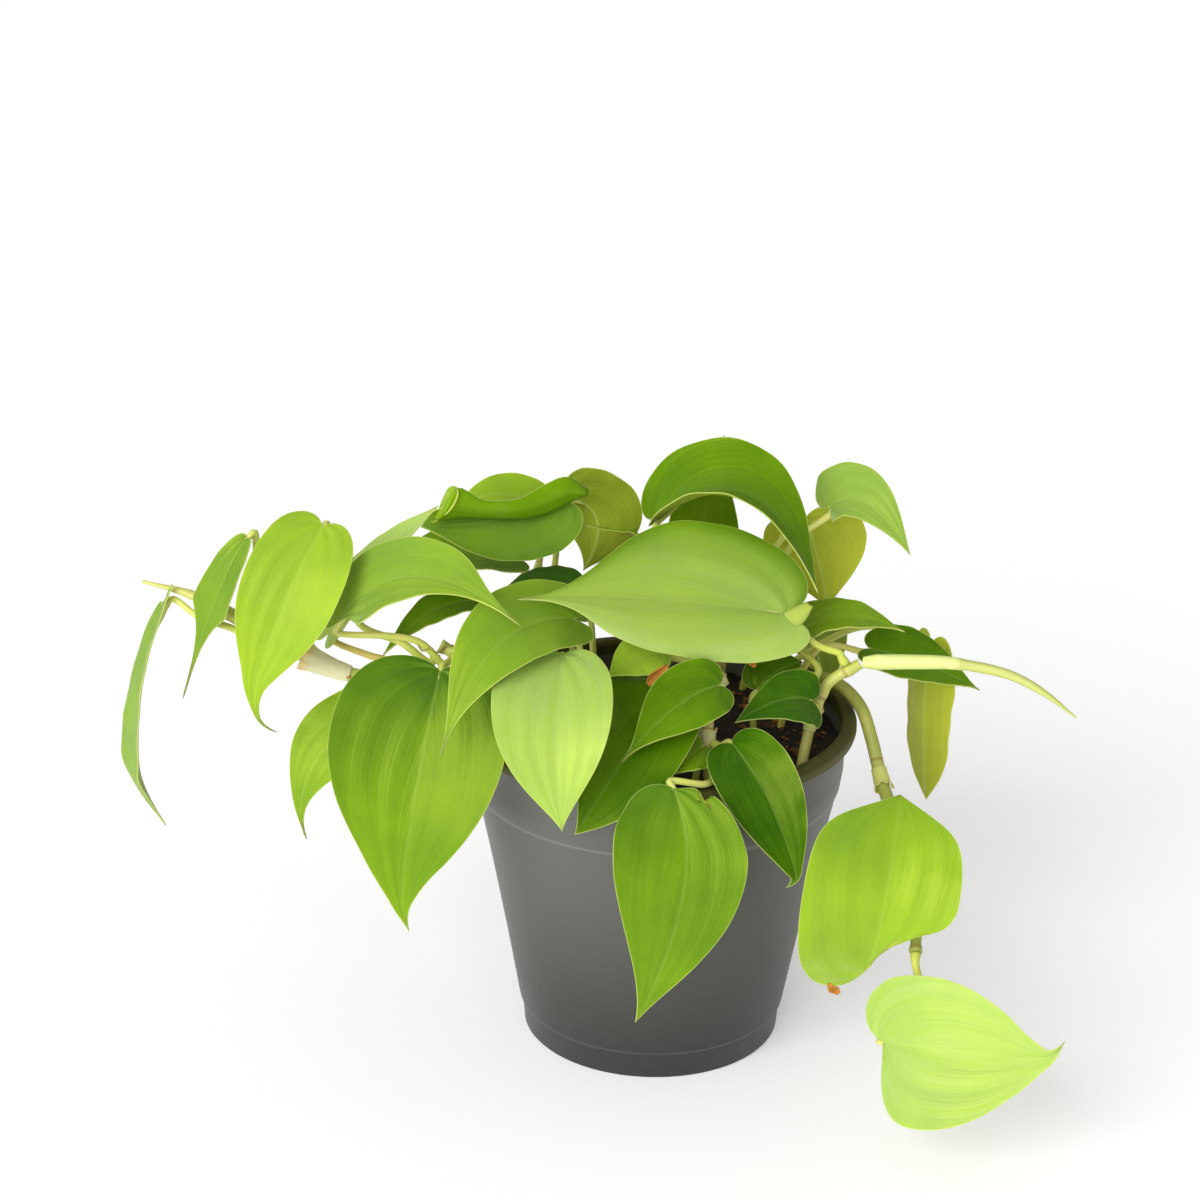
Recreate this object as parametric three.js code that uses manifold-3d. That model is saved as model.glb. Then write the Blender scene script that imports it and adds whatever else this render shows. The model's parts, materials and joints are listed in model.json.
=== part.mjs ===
import * as THREE from 'three';
import { mergeVertices } from 'three/addons/utils/BufferGeometryUtils.js';
import Module from 'manifold-3d';

// A young heartleaf philodendron in a plain nursery pot. Millimetres, +Z up, the pot stands on
// z = 0 with its axis at the origin, and -Y is the front.

// Pot
const LIP_RADIUS = 70;
const POT_HEIGHT = 122;
const FOOT_RADIUS = 46;
const FOOT_HEIGHT = 10;
const LOWER_WALL = [52.6, 38];
const UPPER_WALL = [58.4, 68];
const STEP_RADIUS = 64;
const STEP_HEIGHT = 95;
const COLLAR_RADIUS = 66;
const COLLAR_FOOT = 104;
const LIP_UNDERSIDE = 116.5;
const POT_WALL = 1.4;
const POT_FLOOR = 2.4;
const DRAIN_RADIUS = 4;
const DRAIN_CIRCLE = 31;
const DRAIN_HOLES = 6;
const POT_SEGMENTS = 40;

// Soil
const SOIL_TOP = 113;
const SOIL_SEGMENTS = 30;
const SOIL_RINGS = [0, 14, 27, 40, 51, 60];
const SOIL_DISH = 2.2;
const SIDE_GAP = 0.7;
const CHIP_COUNT = 22;
const CHIP_SPREAD = 58;
const CHIP_LENGTH = 4;
const CHIP_WIDTH = 2;
const CHIP_TILT = 0.5;
const SEAT_GAP = 0.3;
const ROOT_DEPTH = 9;
const HOLE_CLEARANCE = 0.7;
const HOLE_REACH = 3;

// Leaves and stems
const BLADE_THICKNESS = 0.7;
const BLADE_ROWS = 8;
const WAVE_HEIGHT = 0.6;
const LOBE_TURN = 0.42;
const PETIOLE_RADIUS = 1.1;
const PETIOLE_SIDES = 5;
const STEM_SIDES = 6;
const NODE_SWELLING = 1.25;
const NODE_LENGTH = 2.2;
const START_GAP = 0.45;

const LEAF_GREEN = 0x7db82c;
const DEEP_GREEN = 0x4f8a16;
const OLIVE_GREEN = 0x9aac3e;
const PALE_GREEN = 0xa9cf5a;
const STEM_GREEN = 0x93a83a;
const CHARCOAL = 0x3c3d3a;
const SOIL_BROWN = 0x2a1a10;

const wasm = await Module();
wasm.setup();

// Solids: a closed three.js geometry becomes a solid, and a solid a geometry again.
function solidOf(geometry) {
  const plain = geometry.clone();
  plain.deleteAttribute('normal');
  plain.deleteAttribute('uv');
  const merged = mergeVertices(plain, 1e-4);
  return new wasm.Manifold(new wasm.Mesh({
    numProp: 3,
    vertProperties: new Float32Array(merged.attributes.position.array),
    triVerts: new Uint32Array(merged.index.array),
  }));
}

function geometryOf(solid) {
  const mesh = solid.getMesh();
  const geometry = new THREE.BufferGeometry();
  geometry.setAttribute('position', new THREE.BufferAttribute(mesh.vertProperties, 3));
  geometry.setIndex(new THREE.BufferAttribute(mesh.triVerts, 1));
  return geometry;
}

// A seeded generator of numbers from 0 to 1.
function seeded(seed) {
  let state = seed;
  return () => {
    state = (state * 1664525 + 1013904223) % 4294967296;
    return state / 4294967296;
  };
}

const vector = (p) => new THREE.Vector3(p[0], p[1], p[2]);

function smoothPath(points) {
  return new THREE.CatmullRomCurve3(points, false, 'centripetal');
}

// A limb is a turned profile of the given radii carried along a path, closed at both ends.
function limb(path, radiusAt, steps, sides) {
  const profile = [new THREE.Vector2(0, 0)];
  for (let i = 0; i <= steps; i += 1) {
    profile.push(new THREE.Vector2(radiusAt(i / steps), i));
  }
  profile.push(new THREE.Vector2(0, steps));
  const geometry = new THREE.LatheGeometry(profile, sides);
  const frames = path.computeFrenetFrames(steps);
  const place = geometry.attributes.position;
  for (let i = 0; i < place.count; i += 1) {
    const step = Math.round(place.getY(i));
    const point = path.getPointAt(step / steps);
    point.addScaledVector(frames.normals[step], place.getZ(i));
    point.addScaledVector(frames.binormals[step], place.getX(i));
    place.setXYZ(i, point.x, point.y, point.z);
  }
  return geometry;
}

// The pot is one turned shell with drain holes through its floor.
function pot() {
  const inside = ([outer, height]) => [outer - POT_WALL, height];
  const outline = [
    [0, 0],
    [FOOT_RADIUS, 0],
    [FOOT_RADIUS + 0.8, FOOT_HEIGHT],
    [FOOT_RADIUS + 1.8, FOOT_HEIGHT + 1],
    LOWER_WALL,
    UPPER_WALL,
    [STEP_RADIUS, STEP_HEIGHT],
    [COLLAR_RADIUS - 1, STEP_HEIGHT + 2],
    [COLLAR_RADIUS, COLLAR_FOOT],
    [COLLAR_RADIUS, LIP_UNDERSIDE],
    [LIP_RADIUS - 0.8, LIP_UNDERSIDE + 0.2],
    [LIP_RADIUS, LIP_UNDERSIDE + 2],
    [LIP_RADIUS - 0.7, POT_HEIGHT - 1],
    [LIP_RADIUS - 2.6, POT_HEIGHT],
    [COLLAR_RADIUS - 0.6, POT_HEIGHT - 0.3],
    inside([COLLAR_RADIUS, POT_HEIGHT - 2]),
    inside([COLLAR_RADIUS, COLLAR_FOOT]),
    inside([STEP_RADIUS - 0.3, STEP_HEIGHT]),
    inside(UPPER_WALL),
    inside(LOWER_WALL),
    inside([FOOT_RADIUS, POT_FLOOR]),
    [0, POT_FLOOR],
  ];
  const profile = outline.map(([r, z]) => new THREE.Vector2(r, z));
  const shell = new THREE.LatheGeometry(profile, POT_SEGMENTS).rotateX(Math.PI / 2);
  let solid = solidOf(shell);
  for (let i = 0; i < DRAIN_HOLES; i += 1) {
    const turn = (2 * Math.PI * i) / DRAIN_HOLES;
    const hole = new THREE.CylinderGeometry(DRAIN_RADIUS, DRAIN_RADIUS, 4 * POT_FLOOR, 12);
    hole.rotateX(Math.PI / 2);
    hole.translate(DRAIN_CIRCLE * Math.cos(turn), DRAIN_CIRCLE * Math.sin(turn), 0);
    solid = solid.subtract(solidOf(hole));
  }
  return geometryOf(solid);
}

// Soil height over the pot's mouth: low mounds, highest near the middle.
function soilHeight(x, y) {
  const mounds = Math.sin(x * 0.19 + 0.6) * Math.cos(y * 0.17 - 0.4);
  const crumbs = Math.sin(x * 0.61 + y * 0.23) * Math.sin(y * 0.57 - x * 0.31);
  const rim = Math.hypot(x, y) / LIP_RADIUS;
  return SOIL_TOP + 0.8 * mounds + 0.5 * crumbs - SOIL_DISH * rim * rim;
}

// The soil fills the pot up to a thin gap, with its bark bits fused on top.
function soil(holes) {
  const inside = ([outer, height]) => [outer - POT_WALL - SIDE_GAP, height];
  const [rim] = inside([COLLAR_RADIUS, COLLAR_FOOT]);
  const top = [...SOIL_RINGS, rim].map((r) => [r, SOIL_TOP]);
  const side = [
    [rim, COLLAR_FOOT - 1],
    inside([STEP_RADIUS - 0.4, STEP_HEIGHT - 1]),
    inside(UPPER_WALL),
    inside(LOWER_WALL),
    inside([FOOT_RADIUS, POT_FLOOR + SEAT_GAP]),
    [0, POT_FLOOR + SEAT_GAP],
  ];
  const profile = [...top, ...side].reverse().map(([r, z]) => new THREE.Vector2(r, z));
  const body = new THREE.LatheGeometry(profile, SOIL_SEGMENTS);
  body.rotateX(Math.PI / 2);
  const place = body.attributes.position;
  for (let i = 0; i < place.count; i += 1) {
    if (place.getZ(i) > SOIL_TOP - 0.5) {
      place.setZ(i, soilHeight(place.getX(i), place.getY(i)));
    }
  }
  let solid = solidOf(body);
  const random = seeded(7);
  for (let i = 0; i < CHIP_COUNT; i += 1) {
    const turn = 2 * Math.PI * random();
    const out = CHIP_SPREAD * Math.sqrt(random());
    const x = out * Math.cos(turn);
    const y = out * Math.sin(turn);
    const length = CHIP_LENGTH * (1 + 1.5 * random());
    const width = CHIP_WIDTH * (1 + 0.8 * random());
    const chip = new THREE.BoxGeometry(length, width, 0.8 * width);
    chip.rotateX(CHIP_TILT * (random() - 0.5));
    chip.rotateY(CHIP_TILT * (random() - 0.5));
    chip.rotateZ(Math.PI * random());
    chip.translate(x, y, soilHeight(x, y) + 0.1);
    solid = solid.add(solidOf(chip));
  }
  for (const hole of holes) {
    solid = solid.subtract(solidOf(hole));
  }
  return geometryOf(solid);
}

// A point on a leaf's rib: a parabola through base, middle and tip, straight behind the base,
// with a hook that bends the last quarter.
function ribPoint(leaf, t) {
  const [base, middle, tip] = leaf.rib.map(vector);
  const point = new THREE.Vector3();
  if (t < 0) {
    const heading = base.clone().multiplyScalar(-3).addScaledVector(middle, 4).sub(tip);
    return point.copy(base).addScaledVector(heading, t);
  }
  point.addScaledVector(base, (1 - t) * (1 - 2 * t));
  point.addScaledVector(middle, 4 * t * (1 - t));
  point.addScaledVector(tip, t * (2 * t - 1));
  if (leaf.hook && t > 0.75) {
    point.addScaledVector(vector(leaf.hook), ((t - 0.75) / 0.25) ** 2);
  }
  return point;
}

// The rib's own axes at t: along it, out of the upper face, and across the blade.
function ribFrame(leaf, t) {
  const step = 0.01;
  const along = ribPoint(leaf, t + step).sub(ribPoint(leaf, t - step)).normalize();
  const start = vector(leaf.face).normalize();
  const end = vector(leaf.faceTip ?? leaf.face).normalize();
  const up = start.lerp(end, THREE.MathUtils.clamp(t, 0, 1));
  up.addScaledVector(along, -up.dot(along)).normalize();
  const across = new THREE.Vector3().crossVectors(along, up);
  return { along, up, across };
}

const bezier = (a, b, c, d, t) => (
  a * (1 - t) ** 3 + 3 * b * t * (1 - t) ** 2 + 3 * c * t * t * (1 - t) + d * t ** 3
);

// The heart-shaped edge of half a blade, from the notch (w = 0) by the lobe to the tip (w = 1):
// x in half widths, y in rib lengths.
function edgePoint(leaf, side, w) {
  const lobe = leaf.lobe?.[side] ?? 0.1;
  const belly = leaf.belly ?? 0.3;
  const taper = leaf.taper?.[side] ?? 0.2;
  const full = belly + (leaf.full?.[side] ?? 0.5) * (1 - belly);
  const shoulder = leaf.shoulder?.[side] ?? 1;
  if (w < LOBE_TURN) {
    const t = w / LOBE_TURN;
    return [bezier(0, 0.2, shoulder, 1, t), bezier(0, -1.9 * lobe, -1.1 * lobe, belly, t)];
  }
  const t = (w - LOBE_TURN) / (1 - LOBE_TURN);
  return [bezier(1, 1, taper, 0, t), bezier(belly, full, leaf.neck ?? 0.84, 1, t)];
}

// A point of the blade's middle surface: u runs from the rib (0) to either edge (-1 or 1).
function bladePoint(leaf, u, w) {
  const side = u < 0 ? 0 : 1;
  const [edgeX, edgeY] = edgePoint(leaf, side, w);
  const reach = Math.abs(u);
  const x = reach * edgeX;
  const y = (1 - reach) * w ** 1.35 + reach * edgeY;
  const bow = (leaf.cup?.[side] ?? 8) * x * THREE.MathUtils.DEG2RAD;
  const rise = (leaf.fold?.[side] ?? 5) * THREE.MathUtils.DEG2RAD + bow / 2;
  const shrink = bow === 0 ? 1 : Math.sin(bow / 2) / (bow / 2);
  const width = leaf.half[side] * x * shrink;
  const { up, across } = ribFrame(leaf, y);
  const wave = WAVE_HEIGHT * x * x * Math.sin(9 * y + 2.4 * side + leaf.rib[0][0]);
  return ribPoint(leaf, y)
    .addScaledVector(across, Math.sign(u) * width * Math.cos(rise))
    .addScaledVector(up, width * Math.sin(rise) + wave);
}

// A blade is its middle surface thickened both ways, split alike on both faces.
function blade(leaf) {
  const columns = leaf.columns ?? 3;
  const rows = BLADE_ROWS;
  const across = 2 * columns + 1;
  const middle = [bladePoint(leaf, 0, 0)];
  for (let i = 1; i < rows; i += 1) {
    for (let j = -columns; j <= columns; j += 1) {
      middle.push(bladePoint(leaf, j / columns, i / rows));
    }
  }
  middle.push(bladePoint(leaf, 0, 1));
  const last = middle.length - 1;
  const at = (i, j) => 1 + (i - 1) * across + j;
  const face = [];
  for (let j = 0; j < across - 1; j += 1) {
    face.push([0, at(1, j + 1), at(1, j)]);
    for (let i = 1; i < rows - 1; i += 1) {
      if (j < columns) {
        face.push([at(i, j), at(i, j + 1), at(i + 1, j)]);
        face.push([at(i, j + 1), at(i + 1, j + 1), at(i + 1, j)]);
      } else {
        face.push([at(i, j), at(i, j + 1), at(i + 1, j + 1)]);
        face.push([at(i, j), at(i + 1, j + 1), at(i + 1, j)]);
      }
    }
    face.push([at(rows - 1, j), at(rows - 1, j + 1), last]);
  }
  const sheet = new THREE.BufferGeometry().setFromPoints(middle);
  sheet.setIndex(face.flat());
  sheet.computeVertexNormals();
  const normal = sheet.attributes.normal;
  const offset = (k, sign) => middle[k].clone().addScaledVector(
    new THREE.Vector3().fromBufferAttribute(normal, k),
    (sign * BLADE_THICKNESS) / 2,
  );
  const count = middle.length;
  const points = [];
  for (let k = 0; k < count; k += 1) {
    points.push(offset(k, 1));
  }
  for (let k = 0; k < count; k += 1) {
    points.push(offset(k, -1));
  }
  const rim = [0];
  for (let i = 1; i < rows; i += 1) {
    rim.push(at(i, across - 1));
  }
  rim.push(last);
  for (let i = rows - 1; i > 0; i -= 1) {
    rim.push(at(i, 0));
  }
  const index = [];
  for (const [a, b, c] of face) {
    index.push(a, b, c, count + a, count + c, count + b);
  }
  rim.forEach((a, k) => {
    const b = rim[(k + 1) % rim.length];
    index.push(a, count + a, b, b, count + a, count + b);
  });
  const geometry = new THREE.BufferGeometry().setFromPoints(points);
  geometry.setIndex(index);
  return geometry;
}

// Stems: each is a smooth path that stands in the soil. The tip is a share of the radius, and a
// dry sheath wraps the stem from one place to the next with the given radii.
const STEMS = {
  centre: {
    radius: 2.3,
    tip: 0.6,
    path: [[18, -42, 104], [18, -42, 115], [16, -41, 127], [17, -36, 141], [21, -29, 148]],
    sheath: [[18, -34, 143], [20, -31, 147], 2.5, 3.1],
  },
  branch: {
    radius: 1.9,
    tip: 1,
    path: [[49, -26, 104], [50, -25, 115], [53, -20, 128], [58, -16, 139], [69, -14, 146]],
  },
  right: {
    radius: 2.3,
    tip: 0.8,
    path: [[48, 23, 104], [50, 22, 115], [55, 19, 126], [61, 14, 128], [67, 8, 126.5], [71.8, 1, 122.5],
      [75, -6, 114.5], [78, -15, 104], [81, -28, 97], [86, -46, 88], [88, -60, 77], [87, -73, 66]],
    sheath: [[78, -12, 108], [80, -18, 103], 2.9, 3.1],
  },
  left: {
    radius: 2.4,
    tip: 0.25,
    path: [[-41, -16, 104], [-44, -16, 115], [-62, -17, 134], [-84, -20, 139], [-104, -22, 142],
      [-118, -22, 147], [-131, -20, 154], [-145, -20, 162], [-160, -18, 169], [-177, -14, 172]],
    sheath: [[-106, -22, 142], [-122, -22, 149], 3.2, 4.2],
  },
  fork: {
    radius: 2,
    tip: 1,
    path: [[-46, -34, 104], [-48, -34, 115], [-58, -30, 139], [-69, -27, 152], [-75, -26, 155]],
  },
  backLeft: {
    radius: 2.1,
    tip: 0.7,
    path: [[-42, 16, 104], [-42, 16, 115], [-44, 14, 135], [-46, 12, 152]],
  },
  backRight: {
    radius: 2.1,
    tip: 0.7,
    path: [[22, 28, 104], [22, 28, 115], [24, 26, 140], [30, 24, 158]],
  },
};

// The new leaf at the right is still rolled, in its pale sheath.
const NEW_LEAF = {
  path: [[70.1, -14, 146.4], [86, -18, 148.5], [101, -20, 149], [119, -24, 147], [131, -28, 142],
    [142, -30, 134]],
  radii: [[0, 1.9], [0.06, 2.7], [0.3, 2.5], [0.42, 2.2], [0.46, 1.9], [0.75, 1.5], [1, 0.3]],
};

// Leaves, from the far left to the low right. The rib is base, middle and tip; the face is the way
// the upper side looks; half widths, lobes, cup and fold are for the two sides of the rib. Each leaf
// leaves a stem near the given place, or stands in the soil.
const LEAVES = [
  { rib: [[-170, -18, 165], [-180, -19, 125], [-177, -24, 89]], face: [-1, -0.4, 0], half: [11, 11],
    belly: 0.7, shoulder: [0.4, 0.4], neck: 0.9, lobe: [0.12, 0.02], hook: [6, 0, -4],
    from: ['left', [-134, -20, 155]], via: [[-144, -22, 157.5], [-157, -21, 162]], fold: [10, 10],
    color: LEAF_GREEN },
  { rib: [[-140, -24, 192], [-151, -27, 170], [-163, -26, 134]], face: [-0.4, -0.8, 0.3],
    half: [8, 8], belly: 0.52, shoulder: [0.5, 0.6], from: ['left', [-140, -20, 159]],
    via: [[-138, -19, 172]], fold: [12, 12], taper: [0.02, 0.02], full: [0.1, 0.1], neck: 0.6,
    lobe: [0.04, 0.04], columns: 2, color: LEAF_GREEN },
  { rib: [[-114, -28, 198], [-128, -44, 170], [-142, -44, 128]], face: [-0.1, -0.8, 0.5],
    faceTip: [0, -1, 0.1], half: [17, 17], lobe: [0.05, 0.05], taper: [0.05, 0.05], neck: 0.7,
    hook: [10, 0, -1], from: ['fork', [-75, -26, 155]],
    via: [[-88, -26, 156], [-102, -21, 160], [-108, -17, 170], [-112, -19, 186]], color: LEAF_GREEN },
  { rib: [[-114, -8, 153], [-98, -4, 177], [-77, 0, 196]], face: [-0.5, -0.5, 0.7], half: [9, 9],
    from: ['left', [-90, -20, 140]], via: [[-101, -13, 146]], color: LEAF_GREEN },
  { rib: [[-110, -34, 165], [-82, -49, 189], [-46, -72, 181]], face: [0, -0.5, 0.85],
    faceTip: [0.3, -0.7, 0.6], half: [15, 14], lobe: [0.05, -0.08], shoulder: [0.8, 1],
    taper: [0.15, 0.05], full: [0.75, 0.35], neck: 0.7, from: ['fork', [-64, -28, 146]],
    via: [[-82, -30, 158]], color: LEAF_GREEN },
  { rib: [[-50, -6, 180], [-73, -8, 183], [-91, -12, 179]], face: [-0.1, -0.35, 0.93], half: [12, 12],
    from: ['backLeft', [-45, 13, 144]], via: [[-48, 4, 160]], color: DEEP_GREEN },
  { rib: [[-34, -16, 204], [-56, -24, 200], [-81, -32, 200]], face: [0, -0.6, 0.8], half: [16, 13],
    cup: [-30, 200], fold: [-10, 0], taper: [0.2, 0.9], full: [0.5, 0.8],
    from: ['backLeft', [-46, 12, 149]], via: [[-42, 4, 176]], color: DEEP_GREEN },
  { rib: [[-40, 14, 190], [-56, 11, 197], [-72, 8, 192]], face: [0, -0.8, 0.6], half: [8, 8],
    from: ['backLeft', [-46, 12, 152], 'end'], columns: 2, color: LEAF_GREEN },
  { rib: [[-30, 27, 190], [-22, 26, 181], [-27, 19, 166]], face: [0.1, 0.9, 0.4], half: [16, 17],
    lobe: [0.2, 0.2], from: ['backLeft', [-44, 14, 136]], via: [[-38, 24, 158]], color: OLIVE_GREEN },
  { rib: [[-3, 24, 176], [-14, 18, 181], [-26, 13, 185]], face: [0, 0.1, 1], half: [7, 4],
    soil: [-4, 20], columns: 2, color: LEAF_GREEN },
  { rib: [[-2, 8, 190], [29, -1, 202], [53, -20, 174]], face: [0, -0.05, 1], faceTip: [0.9, -0.3, 0.4],
    half: [23, 22], belly: 0.22, lobe: [0.05, 0.02], cup: [40, 20], fold: [14, 8], soil: [0, 6],
    color: LEAF_GREEN },
  { rib: [[41, -16, 165], [-5, -32, 176], [-48, -53, 183]], face: [0, -0.62, 0.78], half: [21.5, 29],
    cup: [-36, 0], fold: [10, 12], taper: [0.1, 0.03], full: [0.75, 0.4], neck: 0.66,
    from: ['branch', [65, -15, 144]], via: [[62, -15, 150], [54, -15, 153]], color: LEAF_GREEN },
  { rib: [[59, 20, 191], [71, 12, 195], [86, 2, 180]], face: [-0.2, -0.5, 0.85],
    faceTip: [0.3, -0.9, 0.3], half: [15, 9], belly: 0.1, full: [0.35, 0.5], lobe: [0.14, 0],
    from: ['backRight', [30, 24, 158]], via: [[48, 22, 178]], color: LEAF_GREEN },
  { rib: [[52, 38, 180], [57, 38, 165], [61, 34, 147]], face: [0.1, 0.9, 0.3], half: [19, 19],
    from: ['backRight', [28, 25, 152]], via: [[40, 34, 168]], color: OLIVE_GREEN },
  { rib: [[45, 2, 149], [64, 0, 157], [85, -4, 154]], face: [0, -0.1, 1], half: [14, 13],
    taper: [0.05, 0.05], from: ['branch', [56, -17, 136]], via: [[55, -12, 142], [50, -5, 146]],
    color: LEAF_GREEN },
  { rib: [[34, -16, 137], [41, -12, 142], [50, -6, 143]], face: [-0.1, -0.85, 0.5], half: [9, 9],
    soil: [34, -10], columns: 2, color: DEEP_GREEN },
  { rib: [[19, -47, 151], [4, -58, 147], [-13, -71, 133]], face: [-0.1, -0.75, 0.65], half: [12, 12],
    taper: [0.05, 0.05], neck: 0.78, from: ['centre', [17, -40, 140]], color: DEEP_GREEN },
  { rib: [[51, -30, 139], [40, -36, 141], [25, -46, 137]], face: [0, -0.6, 0.8], half: [13, 11],
    lobe: [0.18, 0.18], belly: 0.12, full: [0.35, 0.35], from: ['branch', [54, -19, 131]], columns: 2,
    color: DEEP_GREEN },
  { rib: [[24, -52, 132], [37, -69, 117], [47, -75, 89]], face: [0.1, -0.85, 0.5], half: [13, 15],
    fold: [14, 14], lobe: [0.04, 0.04], from: ['centre', [16, -41, 127]], color: DEEP_GREEN },
  { rib: [[4, -75, 126], [8, -88, 95], [-7, -92, 48]], face: [0.1, -0.95, 0.2], half: [20, 25],
    belly: 0.35, lobe: [-0.02, 0.07], shoulder: [0.7, 1], from: ['centre', [18, -42, 116]],
    via: [[19, -56, 121], [14, -68, 124.4]], color: LEAF_GREEN },
  { rib: [[-33, -55, 164], [-34, -81, 145], [-32, -88, 116]], face: [0, -0.85, 0.5], half: [18, 22],
    lobe: [0.05, 0.05], soil: [-28, -44], color: LEAF_GREEN },
  { rib: [[-30, -42, 172], [-55, -64, 170], [-72, -81, 138]], face: [-0.1, -0.75, 0.65],
    half: [13, 15], fold: [5, 8], taper: [0.05, 0.05], neck: 0.76, soil: [-22, -35],
    color: LEAF_GREEN },
  { rib: [[-27, -18, 172], [-41, -20, 175], [-55, -22, 173]], face: [0, -0.3, 0.95], half: [10, 10],
    soil: [-22, -16], columns: 2, color: DEEP_GREEN },
  { rib: [[-74, -44, 153], [-81, -64, 118], [-88, -70, 71]], face: [-0.1, -0.93, 0.35], half: [28, 32],
    lobe: [0.05, 0.05], taper: [0.1, 0.1], hook: [3, -2, -1], from: ['fork', [-70, -27, 152]],
    color: LEAF_GREEN },
  { rib: [[-94, -29, 132], [-116, -38, 118], [-123, -42, 89]], face: [-0.2, -0.8, 0.5], half: [13, 13],
    from: ['left', [-98, -21, 141]], full: [0.35, 0.35], taper: [0.05, 0.05], neck: 0.74,
    hook: [3, 0, 0], color: LEAF_GREEN },
  { rib: [[-62, -14, 167], [-79, -16, 163], [-95, -19, 148]], face: [-0.2, -0.5, 0.8], half: [6, 7],
    from: ['fork', [-58, -30, 139]], columns: 2, color: DEEP_GREEN },
  { rib: [[0, -34, 157], [-9, -39, 156], [-18, -44, 152]], face: [-0.1, -0.6, 0.8], half: [8, 9],
    from: ['centre', [21, -29, 148]], columns: 2, color: LEAF_GREEN },
  { rib: [[0, -38, 145], [-11, -62, 133], [-28, -80, 111]], face: [0, -0.85, 0.5], half: [18, 20],
    taper: [0.6, 0.2], full: [0.6, 0.5], soil: [0, -30], color: DEEP_GREEN },
  { rib: [[14, -50, 130], [9, -58, 129], [5, -64, 126]], face: [0, -0.8, 0.6], half: [7, 7],
    soil: [12, -46], columns: 2, color: OLIVE_GREEN },
  { rib: [[75, 12, 141], [93, 6, 138], [113, 2, 130]], face: [0, -0.5, 0.85], half: [12, 10],
    taper: [0.1, 0.1], soil: [44, 6], via: [[57, 8, 143]], color: DEEP_GREEN },
  { rib: [[98, 28, 136], [97, 26, 109], [99, 22, 78]], face: [0.8, 0.55, 0.1], half: [13, 13],
    taper: [0.7, 0.7], full: [0.7, 0.7], soil: [38, 34], via: [[72, 34, 140]], color: OLIVE_GREEN },
  { rib: [[71, -78, 63], [75, -83, 92], [80, -62, 119]], face: [0, -0.95, 0.3],
    faceTip: [0.1, -0.3, 0.95], half: [28, 24], belly: 0.5, taper: [0.8, 0.9], full: [0.7, 0.7],
    lobe: [0.2, -0.22], shoulder: [1, 0.85], from: ['right', [88, -66, 71]], color: LEAF_GREEN },
  { rib: [[76, -88, 40], [100, -101, 44], [134, -110, 46]], face: [0.1, -0.9, 0.45], half: [24, 27],
    lobe: [0.15, -0.02], full: [0.6, 0.6], taper: [0.1, 0.1], hook: [0, 0, 3],
    from: ['right', [87, -73, 66], 'end'], via: [[88, -85, 54]], color: PALE_GREEN },
  { rib: [[17, 40, 160], [16, 40, 182], [22, 38, 211]], face: [0, -0.9, 0.4], half: [13, 13],
    taper: [0.05, 0.05], soil: [14, 34], color: DEEP_GREEN },
  { rib: [[6, 54, 138], [10, 80, 130], [12, 91, 92]], face: [0, 0.4, 0.9], faceTip: [0, 1, 0.2],
    half: [21, 21], soil: [2, 40], color: LEAF_GREEN },
  { rib: [[-34, 42, 140], [-52, 66, 130], [-64, 78, 88]], face: [-0.2, 0.5, 0.85],
    faceTip: [-0.5, 0.8, 0.2], half: [20, 20], soil: [-28, 34], color: LEAF_GREEN },
  { rib: [[40, 46, 134], [56, 66, 127], [66, 76, 90]], face: [0.2, 0.5, 0.85],
    faceTip: [0.5, 0.8, 0.2], half: [18, 18], soil: [32, 42], color: DEEP_GREEN },
];

// Where along a stem a leaf leaves it.
function nearest(path, place) {
  let best = 0;
  for (let i = 0; i <= 200; i += 1) {
    const near = path.getPointAt(i / 200).distanceTo(place);
    if (near < path.getPointAt(best).distanceTo(place)) {
      best = i / 200;
    }
  }
  return best;
}

const stems = {};
for (const [name, stem] of Object.entries(STEMS)) {
  const path = smoothPath(stem.path.map(vector));
  stems[name] = { ...stem, points: stem.path, path, length: path.getLength(), nodes: [] };
}
for (const leaf of LEAVES) {
  if (leaf.from) {
    const [name, place] = leaf.from;
    leaf.at = nearest(stems[name].path, vector(place));
    stems[name].nodes.push(leaf.at);
  }
}

// A stem swells at each node and narrows to its tip over the last fifth.
function stemRadius(stem, s) {
  const narrow = 1 - (1 - stem.tip) * THREE.MathUtils.smoothstep(s, 0.8, 1);
  let swell = 0;
  for (const node of stem.nodes) {
    const away = ((s - node) * stem.length) / NODE_LENGTH;
    swell = Math.max(swell, Math.exp(-away * away));
  }
  return stem.radius * narrow * (1 + (NODE_SWELLING - 1) * swell);
}

function stemGeometry(stem) {
  const steps = Math.max(8, Math.round(stem.length / 4));
  return limb(stem.path, (s) => stemRadius(stem, s), steps, STEM_SIDES);
}

// A stem with its dry sheath, if it has one, wrapped round it.
function stemSolid(stem) {
  const bare = solidOf(stemGeometry(stem));
  if (!stem.sheath) {
    return bare;
  }
  const [start, end, narrow, wide] = stem.sheath;
  const from = nearest(stem.path, vector(start));
  const to = nearest(stem.path, vector(end));
  const points = [0, 0.33, 0.67, 1].map((s) => stem.path.getPointAt(from + s * (to - from)));
  const wrap = limb(smoothPath(points), (s) => narrow + (wide - narrow) * s, 5, STEM_SIDES);
  return bare.add(solidOf(wrap));
}

// The radius of the rolled leaf along its length, from its list of places and radii.
function rolledRadius(s) {
  const { radii } = NEW_LEAF;
  const k = Math.max(1, radii.findIndex(([at]) => at >= s));
  const [start, first] = radii[k - 1];
  const [end, last] = radii[k];
  return first + ((last - first) * (s - start)) / (end - start);
}

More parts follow.
